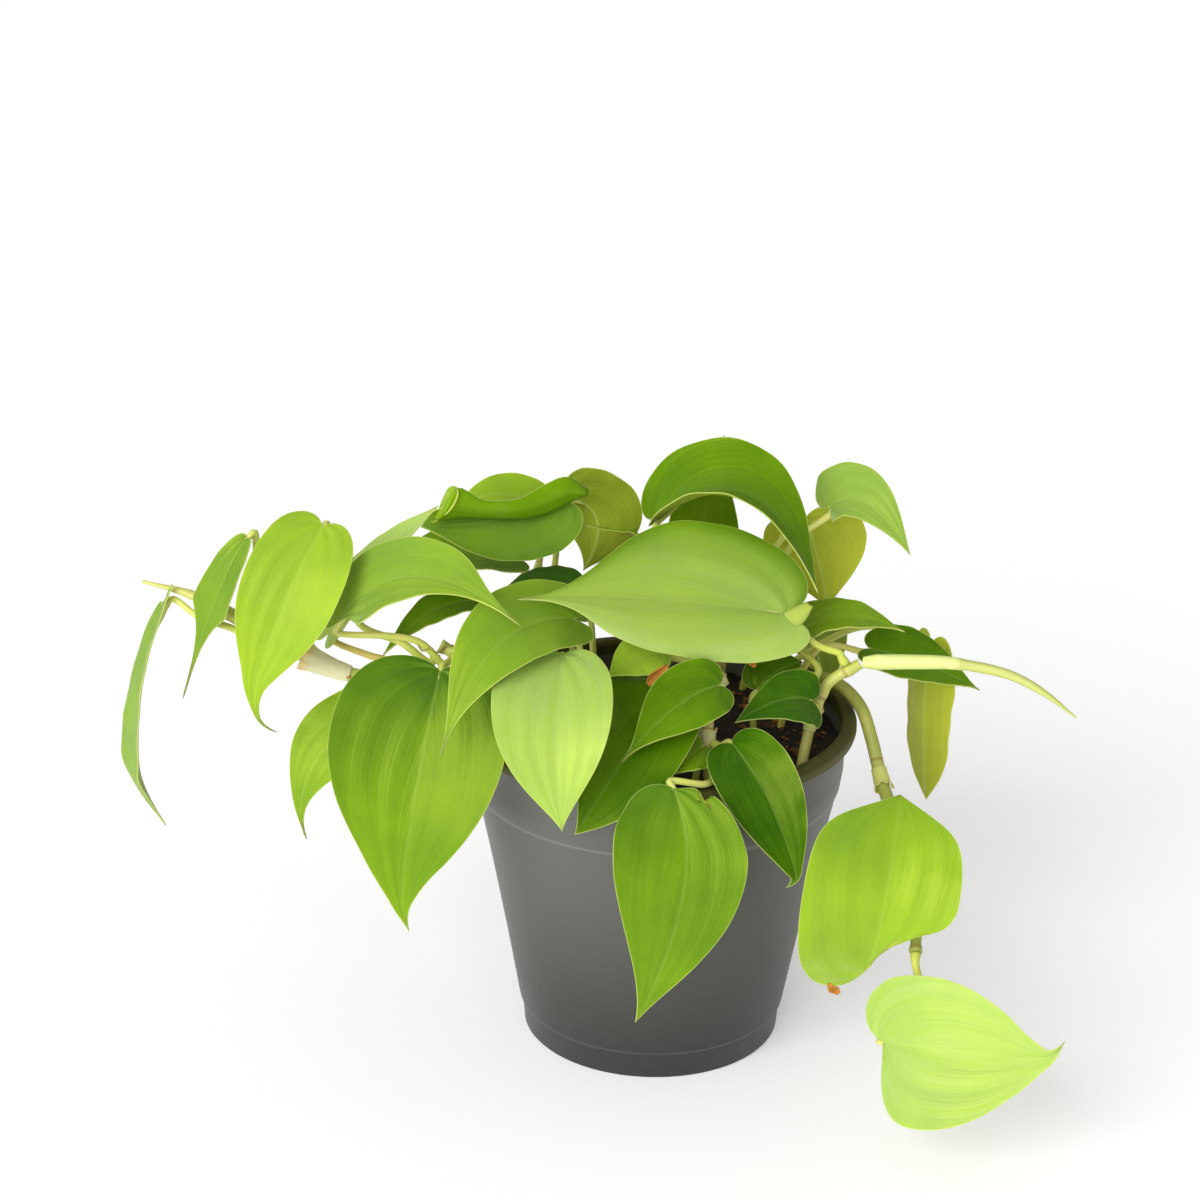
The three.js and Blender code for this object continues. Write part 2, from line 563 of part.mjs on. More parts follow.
// A petiole runs from its stem, or from the soil, to the underside of its blade's base.
function petiolePath(leaf) {
  const { along, up } = ribFrame(leaf, 0.02);
  const base = ribPoint(leaf, 0);
  const neck = base.clone().addScaledVector(along, -3).addScaledVector(up, -2.6);
  const end = ribPoint(leaf, 0.13).addScaledVector(ribFrame(leaf, 0.13).up, -0.75);
  const via = (leaf.via ?? []).map(vector);
  const points = [];
  if (leaf.soil) {
    const [x, y] = leaf.soil;
    points.push(new THREE.Vector3(x, y, SOIL_TOP - ROOT_DEPTH), new THREE.Vector3(x, y, SOIL_TOP + 1));
  } else {
    const stem = stems[leaf.from[0]];
    const origin = stem.path.getPointAt(leaf.at);
    const tangent = stem.path.getTangentAt(leaf.at);
    const atEnd = leaf.from[2] === 'end';
    const out = atEnd ? tangent.clone() : (via[0] ?? neck).clone().sub(origin);
    if (!atEnd) {
      out.addScaledVector(tangent, -out.dot(tangent)).normalize();
    }
    const clear = atEnd ? 0 : stemRadius(stem, leaf.at);
    points.push(origin.clone().addScaledVector(out, clear + START_GAP));
    points.push(origin.clone().addScaledVector(out, clear + 4));
  }
  points.push(...via, neck, base.clone().addScaledVector(up, -0.85), end);
  return smoothPath(points);
}

function petiole(leaf) {
  const path = petiolePath(leaf);
  const steps = Math.max(5, Math.round(path.getLength() / 8));
  return limb(path, (s) => PETIOLE_RADIUS * (1.25 - 0.35 * s), steps, PETIOLE_SIDES);
}

const plant = new THREE.Group();

function addMesh(name, geometry, color, roughness) {
  const material = new THREE.MeshStandardMaterial({ color, roughness, metalness: 0 });
  const mesh = new THREE.Mesh(geometry, material);
  mesh.name = name;
  plant.add(mesh);
}

// Plain holes in the soil, a little wider and deeper than what stands in them.
function rootHole(first, second, radius) {
  const heading = second.clone().sub(first).normalize();
  const bottom = first.clone().addScaledVector(heading, -SEAT_GAP);
  const top = second.clone().addScaledVector(heading, HOLE_REACH);
  return limb(new THREE.LineCurve3(bottom, top), () => radius + HOLE_CLEARANCE, 1, 8);
}

const holes = [];
for (const stem of Object.values(stems)) {
  holes.push(rootHole(vector(stem.points[0]), vector(stem.points[1]), stem.radius));
}
for (const leaf of LEAVES.filter((each) => each.soil)) {
  const [x, y] = leaf.soil;
  const foot = new THREE.Vector3(x, y, SOIL_TOP - ROOT_DEPTH);
  holes.push(rootHole(foot, new THREE.Vector3(x, y, SOIL_TOP + 1), 1.25 * PETIOLE_RADIUS));
}

addMesh('pot', pot(), CHARCOAL, 0.45);
addMesh('soil', soil(holes), SOIL_BROWN, 0.95);
for (const [name, stem] of Object.entries(stems)) {
  addMesh(`stem_${name}`, geometryOf(stemSolid(stem)), STEM_GREEN, 0.5);
}
addMesh('new_leaf', limb(smoothPath(NEW_LEAF.path.map(vector)), rolledRadius, 22, 8), PALE_GREEN, 0.45);
LEAVES.forEach((leaf, i) => {
  const solid = solidOf(blade(leaf)).add(solidOf(petiole(leaf)));
  const name = `leaf_${String(i + 1).padStart(2, '0')}`;
  addMesh(name, geometryOf(solid), leaf.color, 0.42);
});

export default plant;
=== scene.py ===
"""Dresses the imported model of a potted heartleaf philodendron: leaves with their veins and pale
margins, stems with dry sheaths, potting mix with bark, and a satin nursery pot."""

import json
import math

import bpy
import numpy as np
from bpy.props import FloatProperty, FloatVectorProperty, IntProperty, PointerProperty
from bpy.types import Operator, Panel, PropertyGroup
from mathutils import Matrix, Vector


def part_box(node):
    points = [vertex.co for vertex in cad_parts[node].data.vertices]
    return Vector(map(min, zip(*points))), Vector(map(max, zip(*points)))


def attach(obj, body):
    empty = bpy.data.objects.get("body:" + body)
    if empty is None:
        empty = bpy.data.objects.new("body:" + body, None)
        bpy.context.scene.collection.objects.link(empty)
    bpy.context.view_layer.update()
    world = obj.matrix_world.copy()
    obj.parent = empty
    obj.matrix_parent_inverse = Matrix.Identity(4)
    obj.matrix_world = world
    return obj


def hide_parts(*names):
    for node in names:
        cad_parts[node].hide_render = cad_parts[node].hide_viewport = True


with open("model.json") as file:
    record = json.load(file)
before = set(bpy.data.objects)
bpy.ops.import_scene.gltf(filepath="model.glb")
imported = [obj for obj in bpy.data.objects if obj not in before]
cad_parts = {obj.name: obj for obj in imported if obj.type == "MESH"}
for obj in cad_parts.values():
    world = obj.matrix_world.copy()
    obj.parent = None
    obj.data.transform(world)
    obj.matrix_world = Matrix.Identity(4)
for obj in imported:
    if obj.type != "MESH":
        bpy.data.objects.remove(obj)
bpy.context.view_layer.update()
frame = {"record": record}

bl_info = {
    "name": "Heartleaf philodendron",
    "version": (1, 0, 0),
    "blender": (4, 5, 0),
    "location": "3D View > Sidebar > Plant",
    "description": "Dresses a potted heartleaf philodendron with leaves, stems, soil and pot",
    "category": "Object",
}

MM = 0.001

# Pot, in millimetres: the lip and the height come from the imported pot.
LIP_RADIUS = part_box("pot")[1][0] / MM
POT_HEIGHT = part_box("pot")[1][2] / MM
FOOT_RADIUS = 46
FOOT_HEIGHT = 10
LOWER_WALL = (52.6, 38)
UPPER_WALL = (58.4, 68)
STEP_RADIUS = 64
STEP_HEIGHT = 95
COLLAR_RADIUS = 66
COLLAR_FOOT = 104
LIP_UNDERSIDE = 116.5
POT_WALL = 1.4
POT_FLOOR = 2.4
DRAIN_RADIUS = 4
DRAIN_CIRCLE = 31
DRAIN_HOLES = 6
DRAIN_SIDES = 32
POT_SHARP_ANGLE = 40

# Soil
SOIL_TOP = 113
SOIL_DISH = 2.2
SOIL_RINGS = 64
SOIL_SIDES = 200
SIDE_GAP = 0.7
SEAT_GAP = 0.3
ROOT_DEPTH = 9
CHIP_SIDES = 7
CHIP_ROUGHNESS = 0.22

# Leaves and stems
BLADE_HALF_THICKNESS = 0.35
ROLL_HALF_THICKNESS = 0.22
ROLL_ROWS = 28
ROLL_COLUMNS = 9
WAVE_HEIGHT = 0.6
LOBE_TURN = 0.42
RIB_POWER = 1.35
PETIOLE_RADIUS = 1.1
PETIOLE_RINGS = 60
PETIOLE_SIDES = 12
STEM_SIDES = 16
RINGS_PER_MM = 1.2
ROOT_RINGS = 40
ROOT_SIDES = 8
ROOT_RADII = (0.35, 0.5)
PATH_STEPS = 200
SPAN_STEPS = 60
NODE_SWELLING = 1.25
NODE_LENGTH = 2.2
START_GAP = 0.45
SHEATH_HALF_THICKNESS = 0.11
SHEATH_REACH = 2.75
SHEATH_RINGS = 24
SHEATH_SIDES = 40
FLAKE_HALF_THICKNESS = 0.12

# Camera, in millimetres and degrees: it looks at the middle of the plant from a little above.
CAMERA_AIM = (-20.9, 0, 162.5)
CAMERA_DISTANCE = 1040
CAMERA_RISE = 21.4
CAMERA_ROLL = 0.93
CAMERA_LENS = 90
SENSOR_WIDTH = 36

# Stage: the ways the two lights shine, and the round floor.
KEY_HEADING = (0.48, 0.8, -0.4)
FILL_HEADING = (0.1, 0.2, -0.97)
FLOOR_RADIUS = 9000
FLOOR_SIDES = 96

# Stems stand in the soil. The tip is a share of the radius, ripe turns a stem orange, dark turns it
# to the colour of old growth, and scars are brown rings besides those at its leaves. A sheath wraps
# the stem from one place to the next, with a radius at each end, and is dry (0) or fresh (1). A
# flake is a rusty scrap of sheath with its two ends and its half width, and a root is a thin dry
# one that leaves the stem in the air.
STEMS = {
    "centre": dict(
        radius=2.3, tip=0.6, ripe=0.15,
        path=[(18, -42, 104), (18, -42, 115), (16, -41, 127), (17, -36, 141), (21, -29, 148)],
        sheaths=[((18, -34, 143), (20, -31, 147), 2.5, 3.0, 0.5),
                 ((16, -41, 125), (16, -39, 132), 2.8, 3.1, 0.4)],
        flakes=[((28.2, -27, 156.1), (32, -29, 150.4), 1.6), ((2, -44, 156.9), (-4.6, -44, 149.6), 2.2),
                ((15.3, -45, 127.9), (16.8, -45, 120.6), 1.4)],
    ),
    "branch": dict(
        radius=1.9, tip=1, ripe=0.1,
        path=[(49, -26, 104), (50, -25, 115), (53, -20, 128), (58, -16, 139), (69, -14, 146)],
        sheaths=[((52, -22, 124), (54, -19, 131), 2.1, 2.4, 0.7)],
    ),
    "right": dict(
        radius=2.3, tip=0.8, ripe=0.0, dark=0.45, scars=[(77.5, -12, 107)],
        path=[(48, 23, 104), (50, 22, 115), (55, 19, 126), (61, 14, 128), (67, 8, 126.5),
              (71.8, 1, 122.5), (75, -6, 114.5), (78, -15, 104), (81, -28, 97), (86, -46, 88),
              (88, -60, 77), (87, -73, 66)],
        sheaths=[((78, -13, 106), (80, -19, 102), 2.5, 2.9, 0.8)],
        flakes=[((57.5, -80, 57.6), (61.3, -80, 53.5), 1.6)],
    ),
    "left": dict(
        radius=2.4, tip=0.25, ripe=0.1,
        path=[(-41, -16, 104), (-44, -16, 115), (-62, -17, 134), (-84, -20, 139), (-104, -22, 142),
              (-118, -22, 147), (-131, -20, 154), (-145, -20, 162), (-160, -18, 169),
              (-177, -14, 172)],
        sheaths=[((-106, -22, 142), (-122, -22, 149), 2.6, 4.4, 0.0)],
        flakes=[((-106.5, -24, 143.6), (-105.9, -24, 139.6), 0.7)],
    ),
    "fork": dict(
        radius=2, tip=1, ripe=0.0,
        path=[(-46, -34, 104), (-48, -34, 115), (-58, -30, 139), (-69, -27, 152), (-75, -26, 155)],
        sheaths=[],
        root=[(-82.3, -31, 157.7), (-80.6, -31, 155.2), (-77.9, -32, 156.7), (-75.9, -31, 154.6),
              (-73.5, -29, 156.1), (-70.5, -27, 155.4)],
    ),
    "backLeft": dict(
        radius=2.1, tip=0.7, ripe=0.2,
        path=[(-42, 16, 104), (-42, 16, 115), (-44, 14, 135), (-46, 12, 152)],
        sheaths=[],
    ),
    "backRight": dict(
        radius=2.1, tip=0.7, ripe=0.2,
        path=[(22, 28, 104), (22, 28, 115), (24, 26, 140), (30, 24, 158)],
        sheaths=[],
    ),
}

# The new leaf at the right is still rolled, in its pale sheath: places and radii along it.
NEW_LEAF_PATH = [(70.1, -14, 146.4), (86, -18, 148.5), (101, -20, 149), (119, -24, 147),
                 (131, -28, 142), (142, -30, 134)]
NEW_LEAF_PLACES = (0, 0.06, 0.3, 0.42, 0.46, 0.75, 1)
NEW_LEAF_RADII = (1.9, 2.7, 2.5, 2.2, 1.9, 1.5, 0.3)
NEW_LEAF_RINGS = 150
NEW_LEAF_SIDES = 24

# Leaves. The rib is base, middle and tip, and the face is the way the upper side looks. The half
# width, and what shapes the edge, from lobe to fold, is one number or a pair for the two sides of
# the rib; cup and fold are in degrees. Hook and curl bend the end of the rib. Each leaf leaves a
# stem near the given place, or stands in the soil, and its petiole passes the via points.
# The tone goes from lime (0) to deep green (1), leaf by leaf, and is partly the leaf's own green and
# partly painted shade and light. Painted light along the rib takes from the tone towards the tip, and
# where it is below 0 it is painted shade there instead. Painted shade across the blade adds to the
# tone on one side and takes from it on the other. The whitish painted sheen also lightens leaves
# that lie in shade, and ripe turns the petiole orange. A bite is a torn notch: its side, its place
# along the edge, its width and its depth.
LEAVES = [
    dict(rib=((-170, -18, 165), (-180, -19, 125), (-177, -24, 89)), face=(-1, -0.4, 0), half=11,
         belly=0.7, lobe=(0.12, 0.02), shoulder=0.4, neck=0.9, fold=10, hook=(6, 0, -4),
         stem=("left", (-134, -20, 155)), via=[(-144, -22, 157.5), (-157, -21, 162)], tone=0.5,
         bloom=0.25),
    dict(rib=((-140, -24, 192), (-151, -27, 170), (-163, -26, 134)), face=(-0.4, -0.8, 0.3), half=8,
         belly=0.52, lobe=0.04, shoulder=(0.5, 0.6), taper=0.02, full=0.1, neck=0.6, fold=12,
         stem=("left", (-140, -20, 159)), via=[(-138, -19, 172)], tone=0.55, bloom=0.15),
    dict(rib=((-114, -28, 198), (-128, -44, 170), (-142, -44, 128)), face=(-0.1, -0.8, 0.5),
         face_tip=(0, -1, 0.1), half=17, lobe=0.05, taper=0.05, neck=0.7, hook=(10, 0, -1),
         curl=(3, 0, 3), stem=("fork", (-75, -26, 155)),
         via=[(-88, -26, 156), (-102, -21, 160), (-108, -17, 170), (-112, -19, 186)], tone=0.12,
         bloom=0.15),
    dict(rib=((-114, -8, 153), (-98, -4, 177), (-77, 0, 196)), face=(-0.5, -0.5, 0.7), half=9,
         stem=("left", (-90, -20, 140)), via=[(-101, -13, 146)], tone=0.0, bloom=1.0, ripe=0.7),
    dict(rib=((-110, -34, 165), (-82, -49, 189), (-46, -72, 181)), face=(0, -0.5, 0.85),
         face_tip=(0.3, -0.7, 0.6), half=(15, 14), lobe=(0.05, -0.08), shoulder=(0.8, 1),
         taper=(0.15, 0.05), full=(0.75, 0.35), neck=0.7, stem=("fork", (-64, -28, 146)),
         via=[(-82, -30, 158)], tone=0.4, bloom=0.2, ripe=0.05),
    dict(rib=((-50, -6, 180), (-73, -8, 183), (-91, -12, 179)), face=(-0.1, -0.35, 0.93), half=12,
         stem=("backLeft", (-45, 13, 144)), via=[(-48, 4, 160)], tone=0.65),
    dict(rib=((-34, -16, 204), (-56, -24, 200), (-81, -32, 200)), face=(0, -0.6, 0.8), half=(16, 13),
         taper=(0.2, 0.9), full=(0.5, 0.8), cup=(-30, 200), fold=(-10, 0),
         stem=("backLeft", (-46, 12, 149)), via=[(-42, 4, 176)], tone=0.68, bloom=0.12),
    dict(rib=((-40, 14, 190), (-56, 11, 197), (-72, 8, 192)), face=(0, -0.8, 0.6), half=8,
         stem=("backLeft", (-46, 12, 152), "end"), tone=0.15, bloom=0.1),
    dict(rib=((-30, 27, 190), (-22, 26, 181), (-27, 19, 166)), face=(0.1, 0.9, 0.4), half=(16, 17),
         lobe=0.2, stem=("backLeft", (-44, 14, 136)), via=[(-38, 24, 158)], tone=0.5),
    dict(rib=((-3, 24, 176), (-14, 18, 181), (-26, 13, 185)), face=(0, 0.1, 1), half=(7, 4),
         soil=(-4, 20), tone=0.3),
    dict(rib=((-2, 8, 190), (29, -1, 202), (53, -20, 174)), face=(0, -0.05, 1),
         face_tip=(0.9, -0.3, 0.4), half=(23, 22), belly=0.22, lobe=(0.05, 0.02), cup=(40, 20),
         fold=(14, 8), soil=(0, 6), tone=0.66),
    dict(rib=((41, -16, 165), (-5, -32, 176), (-48, -53, 183)), face=(0, -0.62, 0.78), half=(21.5, 29),
         taper=(0.1, 0.03), full=(0.75, 0.4), neck=0.66, cup=(-36, 0), fold=(10, 12),
         stem=("branch", (65, -15, 144)), via=[(62, -15, 150), (54, -15, 153)], tone=0.12, shade=0.5,
         bloom=0.5),
    dict(rib=((59, 20, 191), (71, 12, 195), (86, 2, 180)), face=(-0.2, -0.5, 0.85),
         face_tip=(0.3, -0.9, 0.3), half=(15, 9), belly=0.1, lobe=(0.14, 0), full=(0.35, 0.5),
         stem=("backRight", (30, 24, 158)), via=[(48, 22, 178)], tone=0.42, bloom=0.4),
    dict(rib=((52, 38, 180), (57, 38, 165), (61, 34, 147)), face=(0.1, 0.9, 0.3), half=19,
         stem=("backRight", (28, 25, 152)), via=[(40, 34, 168)], tone=0.0),
    dict(rib=((45, 2, 149), (64, 0, 157), (85, -4, 154)), face=(0, -0.1, 1), half=(14, 13), taper=0.05,
         stem=("branch", (56, -17, 136)), via=[(55, -12, 142), (50, -5, 146)], tone=0.34),
    dict(rib=((34, -16, 137), (41, -12, 142), (50, -6, 143)), face=(-0.1, -0.85, 0.5), half=9,
         soil=(34, -10), tone=0.85),
    dict(rib=((19, -47, 151), (4, -58, 147), (-13, -71, 133)), face=(-0.1, -0.75, 0.65), half=12,
         taper=0.05, neck=0.78, stem=("centre", (17, -40, 140)), tone=0.72),
    dict(rib=((51, -30, 139), (40, -36, 141), (25, -46, 137)), face=(0, -0.6, 0.8), half=(13, 11),
         belly=0.12, lobe=0.18, full=0.35, stem=("branch", (54, -19, 131)), tone=0.95),
    dict(rib=((24, -52, 132), (37, -69, 117), (47, -75, 89)), face=(0.1, -0.85, 0.5), half=(13, 15),
         lobe=0.04, fold=14, curl=(-5, 0, 1), stem=("centre", (16, -41, 127)), tone=0.9),
    dict(rib=((4, -75, 126), (8, -88, 95), (-7, -92, 48)), face=(0.1, -0.95, 0.2), half=(20, 25),
         belly=0.35, lobe=(-0.02, 0.07), shoulder=(0.7, 1), stem=("centre", (18, -42, 116)),
         via=[(19, -56, 121), (14, -68, 124.4)], tone=0.7, painted_tip_light=0.2, bloom=0.04,
         bite=(0, 0.21, 0.022, 0.09)),
    dict(rib=((-33, -55, 164), (-34, -81, 145), (-32, -88, 116)), face=(0, -0.85, 0.5), half=(18, 22),
         lobe=0.05, soil=(-28, -44), tone=0.2, painted_tip_light=0.15, bloom=0.7),
    dict(rib=((-30, -42, 172), (-55, -64, 170), (-72, -81, 138)), face=(-0.1, -0.75, 0.65),
         half=(13, 15), taper=0.05, neck=0.76, fold=(5, 8), soil=(-22, -35), tone=0.42, bloom=0.12),
    dict(rib=((-27, -18, 172), (-41, -20, 175), (-55, -22, 173)), face=(0, -0.3, 0.95), half=10,
         soil=(-22, -16), tone=1.15),
    dict(rib=((-74, -44, 153), (-81, -64, 118), (-88, -70, 71)), face=(-0.1, -0.93, 0.35),
         half=(28, 32), lobe=0.05, taper=0.1, hook=(3, -2, -1), curl=(2, 0, 0),
         stem=("fork", (-70, -27, 152)), tone=1.0, painted_tip_light=0.65, bloom=0.05),
    dict(rib=((-94, -29, 132), (-116, -38, 118), (-123, -42, 89)), face=(-0.2, -0.8, 0.5), half=13,
         taper=0.05, full=0.35, neck=0.74, hook=(3, 0, 0), stem=("left", (-98, -21, 141)), tone=0.42,
         bloom=0.1),
    dict(rib=((-62, -14, 167), (-79, -16, 163), (-95, -19, 148)), face=(-0.2, -0.5, 0.8), half=(6, 7),
         stem=("fork", (-58, -30, 139)), tone=0.7),
    dict(rib=((0, -34, 157), (-9, -39, 156), (-18, -44, 152)), face=(-0.1, -0.6, 0.8), half=(8, 9),
         stem=("centre", (21, -29, 148)), tone=-0.1, bloom=0.2),
    dict(rib=((0, -38, 145), (-11, -62, 133), (-28, -80, 111)), face=(0, -0.85, 0.5), half=(18, 20),
         taper=(0.6, 0.2), full=(0.6, 0.5), soil=(0, -30), tone=0.72),
    dict(rib=((14, -50, 130), (9, -58, 129), (5, -64, 126)), face=(0, -0.8, 0.6), half=7,
         soil=(12, -46), tone=0.5),
    dict(rib=((75, 12, 141), (93, 6, 138), (113, 2, 130)), face=(0, -0.5, 0.85), half=(12, 10),
         taper=0.1, soil=(44, 6), via=[(57, 8, 143)], tone=0.8, ripe=0.4),
    dict(rib=((98, 28, 136), (97, 26, 109), (99, 22, 78)), face=(0.8, 0.55, 0.1), half=13, taper=0.7,
         full=0.7, soil=(38, 34), via=[(72, 34, 140)], tone=0.0),
    dict(rib=((71, -78, 63), (75, -83, 92), (80, -62, 119)), face=(0, -0.95, 0.3),
         face_tip=(0.1, -0.3, 0.95), half=(28, 24), belly=0.5, lobe=(0.2, -0.22), shoulder=(1, 0.85),
         taper=(0.8, 0.9), full=0.7, stem=("right", (88, -66, 71)), tone=0.05, painted_tip_light=-0.4, bloom=0.12),
    dict(rib=((76, -88, 40), (100, -101, 44), (134, -110, 46)), face=(0.1, -0.9, 0.45), half=(24, 27),
         lobe=(0.15, -0.02), taper=0.1, full=0.6, hook=(0, 0, 3), curl=(-1, 0, 5),
         stem=("right", (87, -73, 66), "end"), via=[(88, -85, 54)], tone=0.18, bloom=0.8),
    dict(rib=((17, 40, 160), (16, 40, 182), (22, 38, 211)), face=(0, -0.9, 0.4), half=13, taper=0.05,
         soil=(14, 34), tone=0.6),
    dict(rib=((6, 54, 138), (10, 80, 130), (12, 91, 92)), face=(0, 0.4, 0.9), face_tip=(0, 1, 0.2),
         half=21, soil=(2, 40), tone=0.4),
    dict(rib=((-34, 42, 140), (-52, 66, 130), (-64, 78, 88)), face=(-0.2, 0.5, 0.85),
         face_tip=(-0.5, 0.8, 0.2), half=20, soil=(-28, 34), tone=0.4),
    dict(rib=((40, 46, 134), (56, 66, 127), (66, 76, 90)), face=(0.2, 0.5, 0.85),
         face_tip=(0.5, 0.8, 0.2), half=18, soil=(32, 42), tone=0.6),
]

# Edges that roll over, by leaf: one rim and the other, which carries the pale margin, how far the
# sheet bulges towards the front between them, whether its underside shows, and its tone.
ROLLED_EDGES = {
    7: [
        dict(first=[(-76.1, -31, 202.6), (-74, -28, 207.6), (-71.9, -29, 212.5), (-70.1, -31, 214.3),
                    (-68.7, -34, 214.7)],
             second=[(-74.2, -35, 204.4), (-71.4, -36, 206.9), (-69.2, -36, 210.1),
                     (-68.2, -35.5, 213.1), (-68.7, -34, 214.7)],
             bulge=-0.5, under=False, tone=0.3),
        dict(first=[(-77.5, -33.5, 202.6), (-69.7, -31, 203), (-61.4, -28, 202), (-53, -26.5, 201.5),
                    (-44.8, -25.5, 201.5), (-37.5, -22.5, 203), (-31, -19.5, 205.5),
                    (-25.5, -17, 207)],
             second=[(-74.2, -35, 204.4), (-68.8, -34, 214.9), (-60.5, -32.5, 210.3),
                     (-54.8, -31, 209.5), (-48.2, -29.5, 209.9), (-40.3, -26, 213.4),
                     (-33, -23, 215.5), (-25.5, -18, 209.5)],
             bulge=2.2, under=False, tone=0.6),
    ],
    12: [
        dict(first=[(41, -16, 164.3), (43.3, -15.5, 165.7), (46.5, -14, 167), (49.9, -12.5, 167.9)],
             second=[(42.8, -18.5, 158.8), (46.5, -18, 160.5), (49.5, -16.5, 163.2),
                     (51.9, -14, 167.1)],
             bulge=1.4, under=True, tone=0.2),
    ],
}


def unit(v):
    """A vector, or each vector of an array, over its own length."""
    v = np.asarray(v, float)
    return v / np.maximum(np.linalg.norm(v, axis=-1, keepdims=True), 1e-12)


def smoothstep(low, high, x):
    """0 below low, 1 above high, and 3t^2 - 2t^3 between them."""
    t = np.clip((x - low) / (high - low), 0, 1)
    return t * t * (3 - 2 * t)


def bell(x, width):
    """A hump that is 1 at x = 0 and falls off as exp(-(x / width)^2)."""
    return np.exp(-((x / width) ** 2))


def ripple(x, y, z, scale, seed):
    """Smooth unevenness from -1 to 1: the mean of eight sine waves of seeded headings, whose
    wavelengths are between half of scale and twice it."""
    random = np.random.default_rng(seed)
    total = 0
    for _ in range(8):
        heading = unit(random.normal(size=3))
        waves = 2 * math.pi / (scale * random.uniform(0.5, 2))
        total = total + np.sin(waves * (heading[0] * x + heading[1] * y + heading[2] * z)
                               + random.uniform(0, 2 * math.pi))
    return total / 8


class Surface:
    """Points in millimetres, three-sided faces, a material number and values kept at each point."""

    def __init__(self, points, faces, material=0, **values):
        used, faces = np.unique(faces, return_inverse=True)
        faces = faces.reshape(-1, 3)
        flat = np.asarray(points, float).reshape(-1, 3)
        self.points = flat[used]
        self.values = {k: np.broadcast_to(v, len(flat))[used] for k, v in values.items()}
        a, b, c = (self.points[faces[:, k]] for k in range(3))
        inside_out = np.einsum("ij,ij->", a, np.cross(b, c)) < 0
        self.faces = faces[:, ::-1] if inside_out else faces
        self.material = np.full(len(faces), material)


def joined(parts):
    """One surface from several: their points one after another, with missing values as 0."""
    names = sorted({name for part in parts for name in part.values})
    whole = object.__new__(Surface)
    starts = np.cumsum([0] + [len(part.points) for part in parts])
    whole.points = np.concatenate([part.points for part in parts])
    whole.faces = np.concatenate([part.faces + start for part, start in zip(parts, starts)])
    whole.material = np.concatenate([part.material for part in parts])
    whole.values = {
        name: np.concatenate([part.values.get(name, np.zeros(len(part.points))) for part in parts])
        for name in names
    }
    return whole


def grid_faces(index):
    """Two triangles in each cell of a grid of point numbers, left out where a pole closes them."""
    a, b, c, d = index[:-1, :-1], index[:-1, 1:], index[1:, 1:], index[1:, :-1]
    faces = np.concatenate([np.stack([a, b, c], -1), np.stack([a, c, d], -1)]).reshape(-1, 3)
    x, y, z = faces.T
    return faces[(x != y) & (y != z) & (z != x)]


def closed_rings(rings, **values):
    """A closed surface from rings of points, rows x sides x 3: neighbouring rings are joined, each
    ring closes on itself, and the first and last rings close on their centres."""
    rows, sides = rings.shape[:2]
    poles = rings[[0, -1]].mean(axis=1)
    index = np.arange(rows * sides).reshape(rows, sides)
    index = np.concatenate([index, index[:, :1]], axis=1)
    first = np.full((1, sides + 1), rows * sides)
    index = np.concatenate([first, index, first + 1])
    points = np.concatenate([rings.reshape(-1, 3), poles])
    spread = {}
    for name, value in values.items():
        full = np.broadcast_to(value, (rows, sides)) if np.ndim(value) != 1 else np.repeat(
            np.asarray(value)[:, None], sides, axis=1)
        spread[name] = np.concatenate([full.reshape(-1), [full[0, 0], full[-1, 0]]])
    return points, grid_faces(index), spread


def round_angles(count):
    """The angles of a number of points evenly round a circle."""
    return np.arange(count) * 2 * math.pi / count


def turned(profile, sides):
    """A surface of a profile of radii and heights turned about the z axis: r cos a, r sin a, z."""
    angle = round_angles(sides)
    r, z = np.asarray(profile, float).T
    rings = np.stack([np.outer(r, np.cos(angle)), np.outer(r, np.sin(angle)),
                      np.repeat(z[:, None], sides, axis=1)], -1)
    points, faces, _ = closed_rings(rings)
    return Surface(points, faces)


def smooth_path(points, count):
    """Evenly spaced points on a centripetal Catmull-Rom curve and its length: each span is the
    cubic through its two points, with tangents from their neighbours weighted by the square roots
    of the chords."""
    knots = np.asarray(points, float)
    knots = np.array([2 * knots[0] - knots[1], *knots, 2 * knots[-1] - knots[-2]])
    a, b, c, d = knots[:-3], knots[1:-2], knots[2:-1], knots[3:]
    ab, bc, cd = (np.sqrt(np.linalg.norm(q - p, axis=1))[:, None] for p, q in ((a, b), (b, c), (c, d)))
    leave = ((b - a) / ab - (c - a) / (ab + bc) + (c - b) / bc) * bc
    arrive = ((c - b) / bc - (d - b) / (bc + cd) + (d - c) / cd) * bc
    t = np.linspace(0, 1, SPAN_STEPS)[:, None, None]
    spans = ((2 * t**3 - 3 * t**2 + 1) * b + (t**3 - 2 * t**2 + t) * leave
             + (3 * t**2 - 2 * t**3) * c + (t**3 - t**2) * arrive)
    fine = spans.transpose(1, 0, 2).reshape(-1, 3)
    run = np.concatenate([[0], np.cumsum(np.linalg.norm(np.diff(fine, axis=0), axis=1))])
    even = np.linspace(0, run[-1], count)
    return np.stack([np.interp(even, run, fine[:, k]) for k in range(3)], 1), run[-1]


def carried_axes(path):
    """The heading of a path and two axes square to it that ride along it without twist: each step
    turns the last side axis square to the new heading."""
    heading = unit(np.gradient(path, axis=0))
    side = [unit(np.cross(heading[0], (0.3, 0.9, 0.2)))]
    for along in heading[1:]:
        side.append(unit(side[-1] - along * side[-1].dot(along)))
    side = np.array(side)
    return heading, side, np.cross(heading, side)


